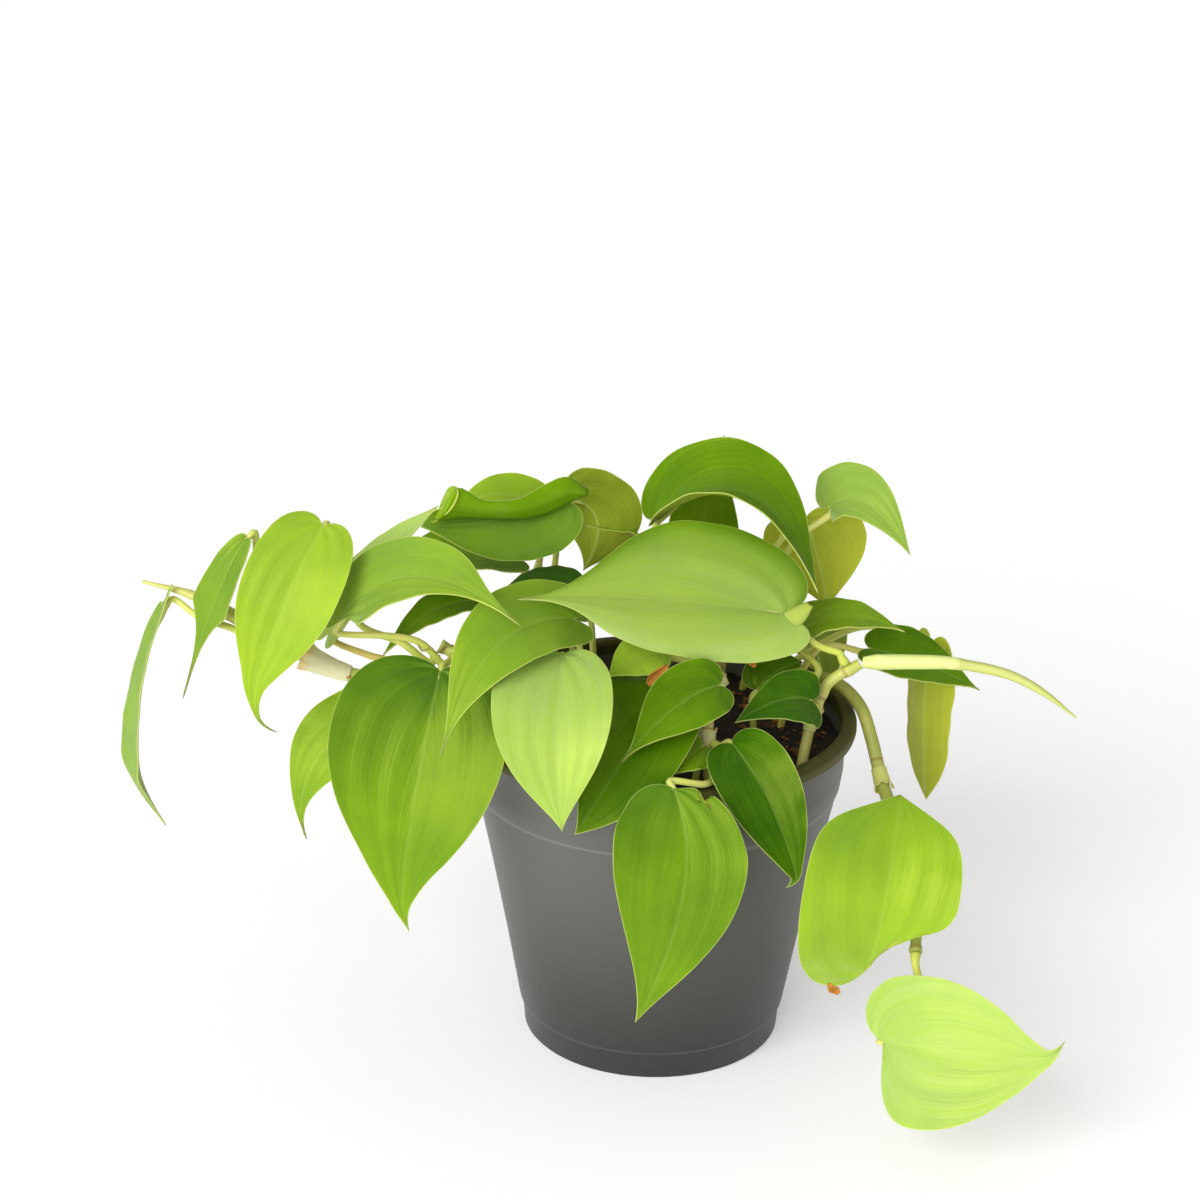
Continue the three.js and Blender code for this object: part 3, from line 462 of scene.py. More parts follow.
def tube(path, radii, sides=12, material=0, **values):
    """A round profile carried along a path: path + radius (cos a side + sin a other). The radii
    are one for each ring, or rings x sides for a profile that changes round the ring."""
    _, side, other = carried_axes(path)
    angle = round_angles(sides)
    radii = np.asarray(radii, float)
    radii = radii[:, None] if radii.ndim == 1 else radii
    rings = (path[:, None] + (radii * np.cos(angle))[..., None] * side[:, None]
             + (radii * np.sin(angle))[..., None] * other[:, None])
    points, faces, spread = closed_rings(rings, **values)
    return Surface(points, faces, material, **spread)


def thick_sheet(middle, half, pointed=False, material=0, **values):
    """A thin closed body about a middle surface, rows x columns x 3: both faces lie half a
    thickness along the surface's normal, which is the cross product of its two slopes, and a strip
    joins them round the rim. The second value of each face is kept as under: 0 above, 1 below."""
    rows, columns = middle.shape[:2]
    normal = unit(np.cross(np.gradient(middle, axis=1), np.gradient(middle, axis=0)))
    index = np.arange(rows * columns).reshape(rows, columns)
    if pointed:
        normal[0] = unit(normal[1].mean(axis=0))
        normal[-1] = unit(normal[-2].mean(axis=0))
        index[0] = index[0, 0]
        index[-1] = index[-1, 0]
    offset = normal * np.broadcast_to(half, (rows, columns))[..., None]
    count = rows * columns
    loop = np.concatenate([index[0, :-1], index[:-1, -1], index[-1, :0:-1], index[:0:-1, 0]])
    loop = loop[loop != np.roll(loop, 1)]
    follow = np.roll(loop, -1)
    faces = np.concatenate([
        grid_faces(index),
        grid_faces(index)[:, ::-1] + count,
        np.stack([loop, loop + count, follow], 1),
        np.stack([follow, loop + count, follow + count], 1),
    ])
    points = np.concatenate([(middle + offset).reshape(-1, 3), (middle - offset).reshape(-1, 3)])
    spread = {k: np.tile(np.broadcast_to(v, (rows, columns)).reshape(-1), 2) for k, v in values.items()}
    spread["under"] = np.repeat([0.0, 1.0], count)
    return Surface(points, faces, material, **spread)


def place_object(name, data):
    """An object that holds the given data, in the scene."""
    placed = bpy.data.objects.new(name, data)
    bpy.context.scene.collection.objects.link(placed)
    return placed


def make_piece(name, surface, materials, slot, *nodes):
    """Puts a surface into a mesh object at the origin that rides on the plant and stands for the
    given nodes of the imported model."""
    mesh = bpy.data.meshes.new(name)
    mesh.vertices.add(len(surface.points))
    mesh.vertices.foreach_set("co", (surface.points * MM).astype(np.float32).ravel())
    mesh.loops.add(3 * len(surface.faces))
    mesh.loops.foreach_set("vertex_index", surface.faces.astype(np.int32).ravel())
    mesh.polygons.add(len(surface.faces))
    mesh.polygons.foreach_set("loop_start", np.arange(0, 3 * len(surface.faces), 3, dtype=np.int32))
    mesh.polygons.foreach_set("material_index", surface.material.astype(np.int32))
    mesh.polygons.foreach_set("use_smooth", np.ones(len(surface.faces), bool))
    mesh.update(calc_edges=True)
    if mesh.validate():
        raise RuntimeError(f"the mesh of {name} had faults")
    for key, value in surface.values.items():
        layer = mesh.attributes.new(key, "FLOAT", "POINT")
        layer.data.foreach_set("value", np.asarray(value, np.float32))
    for material in materials:
        mesh.materials.append(material)
    piece = place_object(name, mesh)
    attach(piece, "root")
    if nodes:
        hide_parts(*nodes)
    return piece


class Value:
    """A number that changes over a surface. Python's operators on it add Math nodes."""

    def __init__(self, shader, socket):
        self.shader = shader
        self.socket = socket

    def math(self, operation, *others, clamp=False):
        node = self.shader.node("Math", {"operation": operation, "use_clamp": clamp}, self, *others)
        return Value(self.shader, node.outputs[0])

    def __add__(self, other):
        return self.math("ADD", other)

    __radd__ = __add__

    def __sub__(self, other):
        return self.math("SUBTRACT", other)

    def __rsub__(self, other):
        return (self * -1) + other

    def __mul__(self, other):
        return self.math("MULTIPLY", other)

    __rmul__ = __mul__

    def __truediv__(self, other):
        return self.math("DIVIDE", other)

    def __rtruediv__(self, other):
        return self.math("POWER", -1) * other

    def __abs__(self):
        return self.math("ABSOLUTE")

    def part(self):
        return self.math("FRACT")

    def clamped(self):
        return self.math("ADD", 0.0, clamp=True)

    def step(self, low, high):
        """0 below low, 1 above high, with a smooth rise between them."""
        node = self.shader.node(
            "MapRange", {"interpolation_type": "SMOOTHSTEP"},
            **{"Value": self, "From Min": low, "From Max": high},
        )
        return Value(self.shader, node.outputs[0])


class Shader:
    """A material under construction: its Principled shader and the nodes that feed it."""

    def __init__(self, name, **constants):
        self.material = bpy.data.materials.new(name)
        self.material.use_nodes = True
        self.tree = self.material.node_tree
        self.principled = self.tree.nodes["Principled BSDF"]
        for socket, value in constants.items():
            self.principled.inputs[socket.replace("_", " ")].default_value = value

    def node(self, kind, settings, *values, **named):
        """A node of a kind, with its settings made first, then its sockets set or linked by place
        or by name."""
        made = self.tree.nodes.new("ShaderNode" + kind)
        for key, value in settings.items():
            setattr(made, key, value)
        for socket, value in [*enumerate(values), *named.items()]:
            self.feed(made.inputs[socket], value)
        return made

    def feed(self, socket, value):
        if isinstance(value, Value):
            self.tree.links.new(value.socket, socket)
        elif isinstance(value, bpy.types.NodeSocket):
            self.tree.links.new(value, socket)
        else:
            socket.default_value = value

    def attribute(self, name):
        node = self.node("Attribute", {"attribute_name": name})
        return Value(self, node.outputs["Fac"])

    def place(self):
        """The point on the object, in metres."""
        return self.node("TexCoord", {}).outputs["Object"]

    def axes(self):
        node = self.node("SeparateXYZ", {}, self.place())
        return [Value(self, socket) for socket in node.outputs]

    def combined(self, x, y, z):
        return self.node("CombineXYZ", {}, x, y, z).outputs[0]

    def noise(self, scale, detail=2.0, at=None, rough=0.5):
        node = self.node("TexNoise", {}, Vector=at or self.place(), Scale=scale, Detail=detail,
                         Roughness=rough)
        return Value(self, node.outputs["Fac"])

    def mix(self, factor, first, second):
        """Two colours mixed: all of the first at 0, all of the second at 1."""
        node = self.node("Mix", {"data_type": "RGBA", "clamp_factor": True})
        self.feed(node.inputs[0], factor)
        for socket, colour in ((node.inputs[6], first), (node.inputs[7], second)):
            self.feed(socket, colour if isinstance(colour, bpy.types.NodeSocket) else (*colour, 1))
        return node.outputs[2]

    def bump(self, height, distance, strength=1.0):
        node = self.node("Bump", {}, Strength=strength, Distance=distance, Height=height)
        self.feed(self.principled.inputs["Normal"], node.outputs[0])

    def colour(self, socket):
        self.feed(self.principled.inputs["Base Color"], socket)

    def roughness(self, value):
        self.feed(self.principled.inputs["Roughness"], value)

    def metallic(self, value):
        self.feed(self.principled.inputs["Metallic"], value)


def leaf_material(settings):
    """A heartleaf blade: lime, green and deep green by tone, with soft clouds, and bands and streaks
    that fan out from the base. A side vein lies where 2.4 times the share across less 1.5 times the
    place along the rib is a whole number of veins, so it leaves the base or the rib and sweeps
    towards the tip. Ribs, margins and undersides are paler, a whitish painted sheen follows the bands
    by its strength and also lightens leaves that lie in shade, and the blade is leathery between its
    veins."""
    shader = Shader("leaf_blade", Specular_IOR_Level=0.42, Specular_Tint=(0.95, 1, 0.15, 1),
                    Subsurface_Weight=0.4, Subsurface_Radius=(1, 1, 0.3), Subsurface_Scale=0.0012)
    across = shader.attribute("across")
    rung = shader.attribute("rung")
    share = abs(across)
    side = across.step(-0.001, 0.001)
    fan = (share * 2.4 - rung * 1.5) * (settings.veins / 2.4)
    beside = abs(fan.part() - 0.5) * 2
    vein = beside.step(0.8, 1.0) * share.step(0.02, 0.1) * (1 - share.step(0.7, 1.0))
    streaks = shader.noise(1.0, 4.0, shader.combined(fan * 2.6, rung * 3.0, side * 4.0), 0.7)
    bands = shader.noise(1.0, 3.0, shader.combined(fan * 1.1, rung * 1.4, side * 4.0 + 7.0), 0.6)
    clouds = shader.noise(34.0, 3.0)
    leather = shader.noise(1100.0, 3.0, rough=0.6)
    under = shader.attribute("under").step(0.3, 0.7)
    midrib = 1 - shader.attribute("mid").step(0.1, 0.8)
    margin = 1 - shader.attribute("edge").step(0.03, 0.26)
    # The tone is partly each leaf's own green and partly painted shade and light, with the painted light
    # along the rib and the painted shade across the blade.
    tone = shader.attribute("tone")
    depth = tone + (clouds - 0.5) * 0.7 + (bands - 0.5) * 0.3 + (leather - 0.5) * 0.1
    pale = settings.pale
    upper = shader.mix(depth / 0.55, settings.lime, settings.green)
    upper = shader.mix((depth - 0.55) / 0.45, upper, settings.deep)
    # Painted sheen: a whitish sheen painted into the colour along the bands, which also paints light on
    # leaves in shade.
    sheen_pattern = bands * 0.9 + clouds * 0.5 + (streaks - 0.5) * 0.2 - 0.1
    bloom = (shader.attribute("bloom") * sheen_pattern).clamped()
    upper = shader.mix(bloom, upper, settings.sheen_paint)
    upper = shader.mix(vein * 0.045 + midrib * 0.15 * (1 - rung * 0.6), upper, pale)
    below = shader.mix(depth, settings.underside, settings.underside_shade)
    # The same painted sheen and light on the underside.
    below = shader.mix(bloom, below, settings.sheen_paint)
    below = shader.mix(vein * 0.16 + midrib * 0.5, below, pale)
    colour = shader.mix(under, upper, below)
    colour = shader.mix(margin * 0.6, colour, settings.margin)
    colour = shader.mix(shader.attribute("torn"), colour, settings.torn)
    shader.colour(colour)
    shader.roughness(0.26 + clouds * 0.14 + (bands - 0.5) * 0.1 + under * 0.2)
    shader.bump(streaks * 0.25 + leather * 0.25 - beside.step(0.6, 1.0) * 0.15, 0.0005, 0.35)
    return shader.material


def petiole_material(settings):
    """A leaf stalk: yellow-green with lengthwise streaks, orange where ripe."""
    shader = Shader("leaf_stalk", Coat_Weight=0.1, Coat_Roughness=0.35)
    clouds = shader.noise(120.0, 3.0)
    along = shader.attribute("along")
    colour = shader.mix(along * 0.5 + (clouds - 0.5) * 0.6, settings.stalk, settings.young)
    ripe = (shader.attribute("ripe") + (clouds - 0.5) * 0.5).clamped()
    colour = shader.mix(ripe, colour, settings.orange)
    shader.colour(colour)
    shader.roughness(0.4 + clouds * 0.12)
    shader.bump(shader.noise(1500.0, 2.0), 0.0002, 0.25)
    return shader.material


def stem_material(settings):
    """A stem: olive green flecked with pale spots, darker where old, orange where ripe, and brown in
    rings at its scars."""
    shader = Shader("stem_skin", Coat_Weight=0.1, Coat_Roughness=0.35)
    clouds = shader.noise(110.0, 4.0)
    flecks = shader.noise(1400.0, 1.0).step(0.62, 0.7)
    colour = shader.mix((clouds - 0.2).clamped(), settings.stem, settings.young)
    colour = shader.mix(shader.attribute("dark"), colour, settings.old)
    ripe = (shader.attribute("ripe") + (clouds - 0.5) * 0.9).clamped()
    colour = shader.mix(ripe, colour, settings.orange)
    colour = shader.mix(flecks * 0.15, colour, settings.young)
    scar = (shader.attribute("scar") * (0.4 + clouds)).step(0.35, 0.8)
    colour = shader.mix(scar * 0.4, colour, settings.scar)
    shader.colour(colour)
    shader.roughness(0.42 + clouds * 0.12 + scar * 0.25)
    shader.bump(shader.noise(900.0, 3.0) + scar * 0.8, 0.0003, 0.4)
    return shader.material


def sheath_material(settings):
    """A sheath: papery pale cream with darker fibres along it and a ragged orange to brown rim where
    it is dry, green where it is fresh, and rusty where it is only a scrap."""
    shader = Shader("dry_sheath", Subsurface_Weight=0.15, Subsurface_Radius=(1, 0.9, 0.5),
                    Subsurface_Scale=0.001)
    around = shader.attribute("around")
    along = shader.attribute("along")
    fibres = shader.noise(1.0, 3.0, shader.combined(around * 26.0, along * 2.2, 0.0))
    blotch = shader.noise(160.0, 3.0)
    colour = shader.mix((fibres - 0.3) * 0.9 * blotch, settings.sheath, settings.sheath_shade)
    colour = shader.mix(shader.attribute("fresh"), colour, settings.stalk)
    rim = shader.attribute("torn")
    colour = shader.mix(rim * 0.8, colour, settings.orange)
    colour = shader.mix(rim * blotch.step(0.56, 0.7) * 0.7, colour, settings.scar)
    rust = shader.mix(fibres, settings.rust, settings.scar)
    colour = shader.mix(shader.attribute("rust"), colour, rust)
    shader.colour(colour)
    shader.roughness(0.62 + fibres * 0.2)
    shader.bump(fibres, 0.0003, 0.5)
    return shader.material


def new_leaf_material(settings):
    """The rolled leaf: pale sheath over the first part, then fresh yellow-green, with fine fibres
    along both."""
    shader = Shader("rolled_leaf", Coat_Weight=0.1, Coat_Roughness=0.3)
    along = shader.attribute("along")
    around = shader.attribute("around")
    fibres = shader.noise(1.0, 3.0, shader.combined(around * 18.0, along * 3.0, 0.0))
    sheath = 1 - (along + (fibres - 0.5) * 0.05).step(0.4, 0.44)
    green = shader.mix(fibres, settings.lime, settings.young)
    wrapped = shader.mix(fibres, settings.wrap, settings.wrap_pale)
    colour = shader.mix(sheath, green, wrapped)
    shader.colour(colour)
    shader.roughness(0.4 + fibres * 0.1)
    shader.bump(fibres, 0.0003, 0.4)
    return shader.material


def pot_material(settings):
    """Moulded charcoal plastic: faint clouds, a tone painted paler towards the top as painted light, a
    fine satin grain, pale lines painted along the step and the foot as painted highlights, a little
    dust, and a lip painted dark olive as painted reflection and shade, partly metallic so that its
    sheen takes that colour."""
    shader = Shader("charcoal_plastic", Specular_IOR_Level=0.5)
    clouds = shader.noise(22.0, 4.0)
    grain = shader.noise(1600.0, 2.0)
    height = shader.axes()[2] * 1000
    dust = shader.noise(260.0, 4.0).step(0.62, 0.75) * 0.1
    lighter = [1.5 * channel for channel in settings.charcoal]
    colour = shader.mix((clouds - 0.3) * 0.5, settings.charcoal, lighter)
    # Painted light: the pot is painted paler towards the top and darker towards the foot, as the light
    # falls on it.
    colour = shader.mix(height.step(-10.0, 110.0) * 0.8, colour, settings.painted_top_light)
    colour = shader.mix(dust, colour, settings.dust)
    # Painted highlights: pale lines painted along the step and the foot, where their rounds catch the
    # light.
    for line, strength in ((STEP_HEIGHT + 0.4, 0.3), (FOOT_HEIGHT + 0.3, 0.12)):
        painted_highlight = height.step(line - 0.9, line) * (1 - height.step(line, line + 0.9))
        colour = shader.mix(painted_highlight * strength, colour, settings.painted_highlight)
    # Painted reflection and shade: the lip is painted dark olive for the green leaves it reflects and the
    # shade under them, and made partly metallic so that its sheen takes that colour.
    lip = height.step(LIP_UNDERSIDE - 0.6, LIP_UNDERSIDE + 0.4)
    colour = shader.mix(lip, colour, settings.lip)
    shader.colour(colour)
    shader.metallic(lip * 0.7)
    shader.roughness(0.34 + clouds * 0.12 + grain * 0.06 + lip * 0.1)
    shader.bump(grain + shader.noise(240.0, 3.0) * 1.2, 0.00012, 0.35)
    return shader.material


def soil_material(settings):
    """Damp potting mix: near black with brown crumbs, rough all over."""
    shader = Shader("potting_mix")
    crumbs = shader.noise(420.0, 5.0, rough=0.7)
    clouds = shader.noise(60.0, 3.0)
    colour = shader.mix((crumbs - 0.35) * 1.8, settings.soil, settings.crumb)
    colour = shader.mix((clouds - 0.5) * 0.6, colour, settings.damp)
    shader.colour(colour)
    shader.roughness(0.78 + crumbs * 0.2)
    shader.bump(crumbs, 0.0016, 0.9)
    return shader.material


def bark_material(settings):
    """Bark chips: orange-brown to dark brown by the chip, with lengthwise fibres."""
    shader = Shader("bark")
    fibres = shader.noise(300.0, 5.0, rough=0.65)
    shade = shader.attribute("shade")
    colour = shader.mix(shade + (fibres - 0.5) * 0.8, settings.crumb, settings.bark)
    shader.colour(colour)
    shader.roughness(0.75 + fibres * 0.2)
    shader.bump(fibres, 0.0008, 0.8)
    return shader.material


def bezier(a, b, c, d, t):
    """The cubic with end values a and d and handles b and c."""
    return a * (1 - t) ** 3 + 3 * b * t * (1 - t) ** 2 + 3 * c * t * t * (1 - t) + d * t**3


def rib_point(leaf, t):
    """Points on a leaf's rib: the parabola through base, middle and tip, straight behind the base,
    with a hook that bends the last quarter by the square of the way into it, and a curl that does
    the same to the last tenth."""
    t = np.asarray(t, float)[..., None]
    base, middle, tip = np.array(leaf["rib"], float)
    curve = base * (1 - t) * (1 - 2 * t) + middle * 4 * t * (1 - t) + tip * t * (2 * t - 1)
    straight = base + (4 * middle - 3 * base - tip) * t
    hook = np.array(leaf.get("hook", (0, 0, 0))) * (np.clip(t - 0.75, 0, None) / 0.25) ** 2
    curl = np.array(leaf.get("curl", (0, 0, 0))) * (np.clip(t - 0.9, 0, None) / 0.1) ** 2
    return np.where(t < 0, straight, curve + hook + curl)


def rib_axes(leaf, t):
    """The rib's own axes at t: along it, out of the upper face, and across the blade."""
    t = np.asarray(t, float)
    along = unit(rib_point(leaf, t + 0.01) - rib_point(leaf, t - 0.01))
    start = unit(leaf["face"])
    end = unit(leaf.get("face_tip", leaf["face"]))
    share = np.clip(t, 0, 1)[..., None]
    up = start * (1 - share) + end * share
    up = unit(up - along * np.sum(up * along, axis=-1, keepdims=True))
    return along, up, np.cross(along, up)


def blade(leaf, settings):
    """A heart-shaped blade. For u across (-1 to 1) and w from the notch (0) by the lobe to the tip
    (1), the edge is two cubics in half widths and rib lengths; a point lies on the straight line
    from the rib at w^1.35 to that edge, which a bite draws towards the tip, bent by the cup angle
    and raised by the fold. It is raised further by a low wave that grows as the square of the way
    out, by a finer one at the margin that grows as its fourth power, and by pleats that follow
    cos(2 pi (2.6 |u| - 1.5 w)), and lowered by a groove along the rib."""
    columns = settings.columns
    u = np.cos(np.linspace(math.pi, 0, columns))
    u = np.sign(u) * (1 - (1 - np.abs(u)) ** 1.2)
    w = np.linspace(0, 1, settings.rows)
    w = w + 0.05 * np.sin(2 * math.pi * w) / (2 * math.pi)
    u, w = np.meshgrid(u, w)
    side = (u >= 0).astype(int)

    def of(name, default):
        first, second = np.broadcast_to(leaf.get(name, default), 2)
        return np.where(side == 0, first, second)

    lobe, taper = of("lobe", 0.1), of("taper", 0.2)
    shoulder = of("shoulder", 1.0)
    belly = leaf.get("belly", 0.3)
    full = belly + of("full", 0.5) * (1 - belly)
    t = np.clip(w / LOBE_TURN, 0, 1)
    s = np.clip((w - LOBE_TURN) / (1 - LOBE_TURN), 0, 1)
    in_lobe = w < LOBE_TURN
    edge_x = np.where(in_lobe, bezier(0, 0.2, shoulder, 1, t), bezier(1, 1, taper, 0, s))
    edge_y = np.where(in_lobe, bezier(0, -1.9 * lobe, -1.1 * lobe, belly, t),
                      bezier(belly, full, leaf.get("neck", 0.84), 1, s))
    reach = np.abs(u)
    x = reach * edge_x
    y = (1 - reach) * w**RIB_POWER + reach * edge_y
    torn = np.zeros_like(u)
    if "bite" in leaf:
        bitten, place, width, depth = leaf["bite"]
        torn = bell(w - place, width) * (side == bitten)
        y = y + depth * torn * reach**4
    bow = np.radians(of("cup", 8.0)) * x
    rise = np.radians(of("fold", 5.0)) + bow / 2
    half = of("half", 10.0)
    width = half * x * np.sinc(bow / (2 * math.pi))
    _, up, across = rib_axes(leaf, y)
    wave = WAVE_HEIGHT * x * x * np.sin(9 * y + 2.4 * side + leaf["rib"][0][0])
    flutter = settings.flutter / MM * reach**4 * np.sin(31 * y + 1.7 * side + leaf["rib"][1][0])
    groove = settings.groove / MM * bell(width, 0.9) * np.clip(1 - y, 0, 1) * smoothstep(0, 0.06, w)
    fold = 2.6 * reach - 1.5 * w + 0.5 * side + 0.13 * leaf["rib"][2][0]
    pleats = (settings.pleat / MM * np.cos(2 * math.pi * fold) * (1 - reach**3) * smoothstep(0, 0.3, reach)
              * smoothstep(0, 0.15, w) * (1 - w) ** 0.7 * half / 20)
    raised = width * np.sin(rise) + wave + flutter * edge_x + pleats - groove
    middle = (rib_point(leaf, y) + across * (np.sign(u) * width * np.cos(rise))[..., None]
              + up * raised[..., None])
    half_thickness = BLADE_HALF_THICKNESS * (1 - 0.45 * reach**6)
    # Painted shade across the blade: one side is painted darker, and the other lighter and with more
    # painted sheen.
    shade = leaf.get("shade", 0.0) * u**3
    # Painted light along the rib lightens the tone towards the tip.
    return thick_sheet(
        middle, half_thickness, pointed=True, across=u, rung=w, mid=half * x,
        edge=(1 - reach) * edge_x * half, tone=leaf["tone"] - leaf.get("painted_tip_light", 0.0) * w + shade,
        bloom=leaf.get("bloom", 0.0) * (1 - 2 * shade), torn=torn * smoothstep(0.75, 1.0, reach),
    )


def rolled_edge(first, second, bulge, under, tone):
    """A thin sheet ruled between two smooth rims, pushed to the front by the bulge times
    sin(pi share). Its upper side looks to the front, or its underside, with a whitish painted sheen,
    where under is set, and the pale margin runs along the second rim."""
    one, _ = smooth_path(first, ROLL_ROWS)
    other, _ = smooth_path(second, ROLL_ROWS)
    share = np.linspace(0, 1, ROLL_COLUMNS)
    middle = one[:, None] * (1 - share)[:, None] + other[:, None] * share[:, None]
    middle[..., 1] -= bulge * np.sin(math.pi * share)
    if under != (unit(np.cross(middle[8, 5] - middle[8, 4], middle[9, 4] - middle[8, 4]))[1] > 0):
        middle = middle[::-1]
    gap = np.linalg.norm(middle[:, -1] - middle[:, 0], axis=1)[:, None]
    rung = np.linspace(0.1, 0.4, ROLL_ROWS)[:, None]
    return thick_sheet(middle, ROLL_HALF_THICKNESS, across=0.5, rung=rung, mid=9.0,
                       edge=(1 - share) * gap, tone=tone, bloom=0.5 * under, torn=0.0)


def stem_path(name):
    """A stem's centre line in even steps, and its length."""
    return smooth_path(STEMS[name]["path"], PATH_STEPS + 1)


def place_on(path, point):
    """The share along a path of its point nearest to a place."""
    return np.argmin(np.linalg.norm(path - np.asarray(point, float), axis=1)) / (len(path) - 1)


def nodes_of(name):
    """Where leaves leave a stem, as shares of its length."""
    path, _ = stem_path(name)
    return [place_on(path, leaf["stem"][1]) for leaf in LEAVES if leaf.get("stem", ("",))[0] == name]


def stem_radius(name, s):
    """A stem's radius at a share of its length: it swells by a hump at each node and narrows to
    its tip over the last fifth."""
    stem = STEMS[name]
    _, length = stem_path(name)
    narrow = 1 - (1 - stem["tip"]) * smoothstep(0.8, 1, s)
    swell = np.zeros_like(np.asarray(s, float))
    for node in nodes_of(name):
        swell = np.maximum(swell, bell((s - node) * length, NODE_LENGTH))
    return stem["radius"] * narrow * (1 + (NODE_SWELLING - 1) * swell)


def petiole_points(leaf):
    """The points a petiole passes: from just off its stem, or from the soil, to the underside of its
    blade's base and a little way along the rib."""
    along, up, _ = rib_axes(leaf, 0.02)
    base = rib_point(leaf, 0)
    neck = base - 3 * along - 2.6 * up
    end = rib_point(leaf, 0.11) - 0.95 * rib_axes(leaf, 0.11)[1]
    via = [np.array(point, float) for point in leaf.get("via", [])]
    if "soil" in leaf:
        x, y = leaf["soil"]
        start = [np.array((x, y, SOIL_TOP - ROOT_DEPTH)), np.array((x, y, SOIL_TOP + 1))]
    else:
        name, place = leaf["stem"][:2]
        path, _ = stem_path(name)
        at = place_on(path, place)
        origin = path[round(at * PATH_STEPS)]
        tangent = unit(np.gradient(path, axis=0))[round(at * PATH_STEPS)]
        if len(leaf["stem"]) == 3:
            out, clear = tangent, 0.0
        else:
            out = (via[0] if via else neck) - origin
            out = unit(out - tangent * out.dot(tangent))
            clear = float(stem_radius(name, at))
        start = [origin + out * (clear + START_GAP), origin + out * (clear + 4)]
    return [*start, *via, neck, base - 1.3 * up, end]


def petiole(leaf, settings):
    """A leaf's stalk: a tube that narrows from 1.25 to 0.9 of the petiole's radius, with a swollen
    foot, a thicker joint just below the blade, and a tail that sinks into the midrib."""
    path, length = smooth_path(petiole_points(leaf), PETIOLE_RINGS)
    s = np.linspace(0, 1, PETIOLE_RINGS)
    run = s * length
    radii = settings.petiole / MM * (1.25 - 0.35 * s)
    radii = radii * (1 + 0.35 * bell(run, 2.5) + 0.16 * bell(length - run - 9, 4))
    radii = radii * (1 - 0.72 * smoothstep(length - 6, length, run))
    return tube(path, radii, PETIOLE_SIDES, 1, along=s, ripe=leaf.get("ripe", 0.0) * (1 - 0.5 * s))


def sheath(name, start, end, narrow, wide, fresh, seed):
    """A sheath: a thin sleeve round a stem, open along the back, whose radius grows from one end to
    the other, with a ragged free rim that curls outwards. A dry one is torn along its rims."""
    path, _ = stem_path(name)
    first, last = place_on(path, start), place_on(path, end)
    run = np.linspace(0, 1, SHEATH_RINGS)
    places = (first + run * (last - first)) * PATH_STEPS
    steps = np.arange(PATH_STEPS + 1)
    centre = np.stack([np.interp(places, steps, path[:, k]) for k in range(3)], 1)
    heading, side, other = carried_axes(centre)
    around = np.linspace(-SHEATH_REACH, SHEATH_REACH, SHEATH_SIDES)
    run, around = np.meshgrid(run, around, indexing="ij")
    angle = around + math.pi / 2
    out = np.abs(around) / SHEATH_REACH
    ragged = 0.16 * ripple(7 * around, 0 * around, 0 * around, 3.0, seed) * run**2
    radius = narrow + (wide - narrow) * run + 0.55 * out**6 + 0.5 * run**8
    radius = radius + 0.12 * ripple(3 * around, 12 * run, 0 * run, 3.0, seed + 1)
    middle = (centre[:, None] + (radius * np.cos(angle))[..., None] * side[:, None]
              + (radius * np.sin(angle))[..., None] * other[:, None]
              + (ragged * np.linalg.norm(centre[-1] - centre[0]))[..., None] * heading[:, None])
    torn = smoothstep(0.8, 1.0, run) + smoothstep(0.9, 1.0, out)
    return thick_sheet(middle, SHEATH_HALF_THICKNESS, material=1, along=run, around=around, fresh=fresh,
                       torn=np.clip(torn, 0, 1) * (1 - fresh))


def flake(start, end, width):
    """A curled scrap of dry sheath from one place to another, pointed at both ends: its half width
    is width times the root of sin(pi run), and its edges bend forward by the square of the way out."""
    run, across = np.meshgrid(np.linspace(0, 1, 13), np.linspace(-1, 1, 7), indexing="ij")
    heading = unit(np.subtract(end, start))
    side = unit(np.cross(heading, (0, 1, 0)))
    half = width * np.sqrt(np.sin(math.pi * np.clip(run, 0.03, 0.97)))
    middle = (np.array(start, float) + run[..., None] * np.subtract(end, start)
              + (half * across)[..., None] * side)
    middle[..., 1] -= 0.6 * half * across**2 + 0.8 * np.sin(2 * math.pi * run)
    return thick_sheet(middle, FLAKE_HALF_THICKNESS, material=1, along=run, around=across, fresh=0.0,
                       torn=0.0, rust=1.0)


def stem_surface(name):
    """A stem: its centre line with the swollen radius, a slightly uneven section, and rings of
    scar just below each leaf, with its thin dry root if it has one."""
    stem = STEMS[name]
    _, length = stem_path(name)
    count = max(60, round(length * RINGS_PER_MM))
    path, length = smooth_path(stem["path"], count)
    s = np.linspace(0, 1, count)
    angle = round_angles(STEM_SIDES)
    radii = stem_radius(name, s)[:, None] * (1 + 0.03 * np.sin(3 * angle + 9 * s[:, None]))
    scar = np.zeros(count)
    more = [place_on(path, place) for place in stem.get("scars", [])]
    for node in [*nodes_of(name), *more]:
        scar = np.maximum(scar, bell((s - node) * length + 1.6, 0.9))
    grown = tube(path, radii, STEM_SIDES, 0, scar=scar, ripe=stem["ripe"], dark=stem.get("dark", 0.0))
    if "root" not in stem:
        return grown
    path, _ = smooth_path(stem["root"], ROOT_RINGS)
    radii = np.linspace(*ROOT_RADII, ROOT_RINGS)
    return joined([grown, tube(path, radii, ROOT_SIDES, 0, scar=1.0, ripe=0.0)])


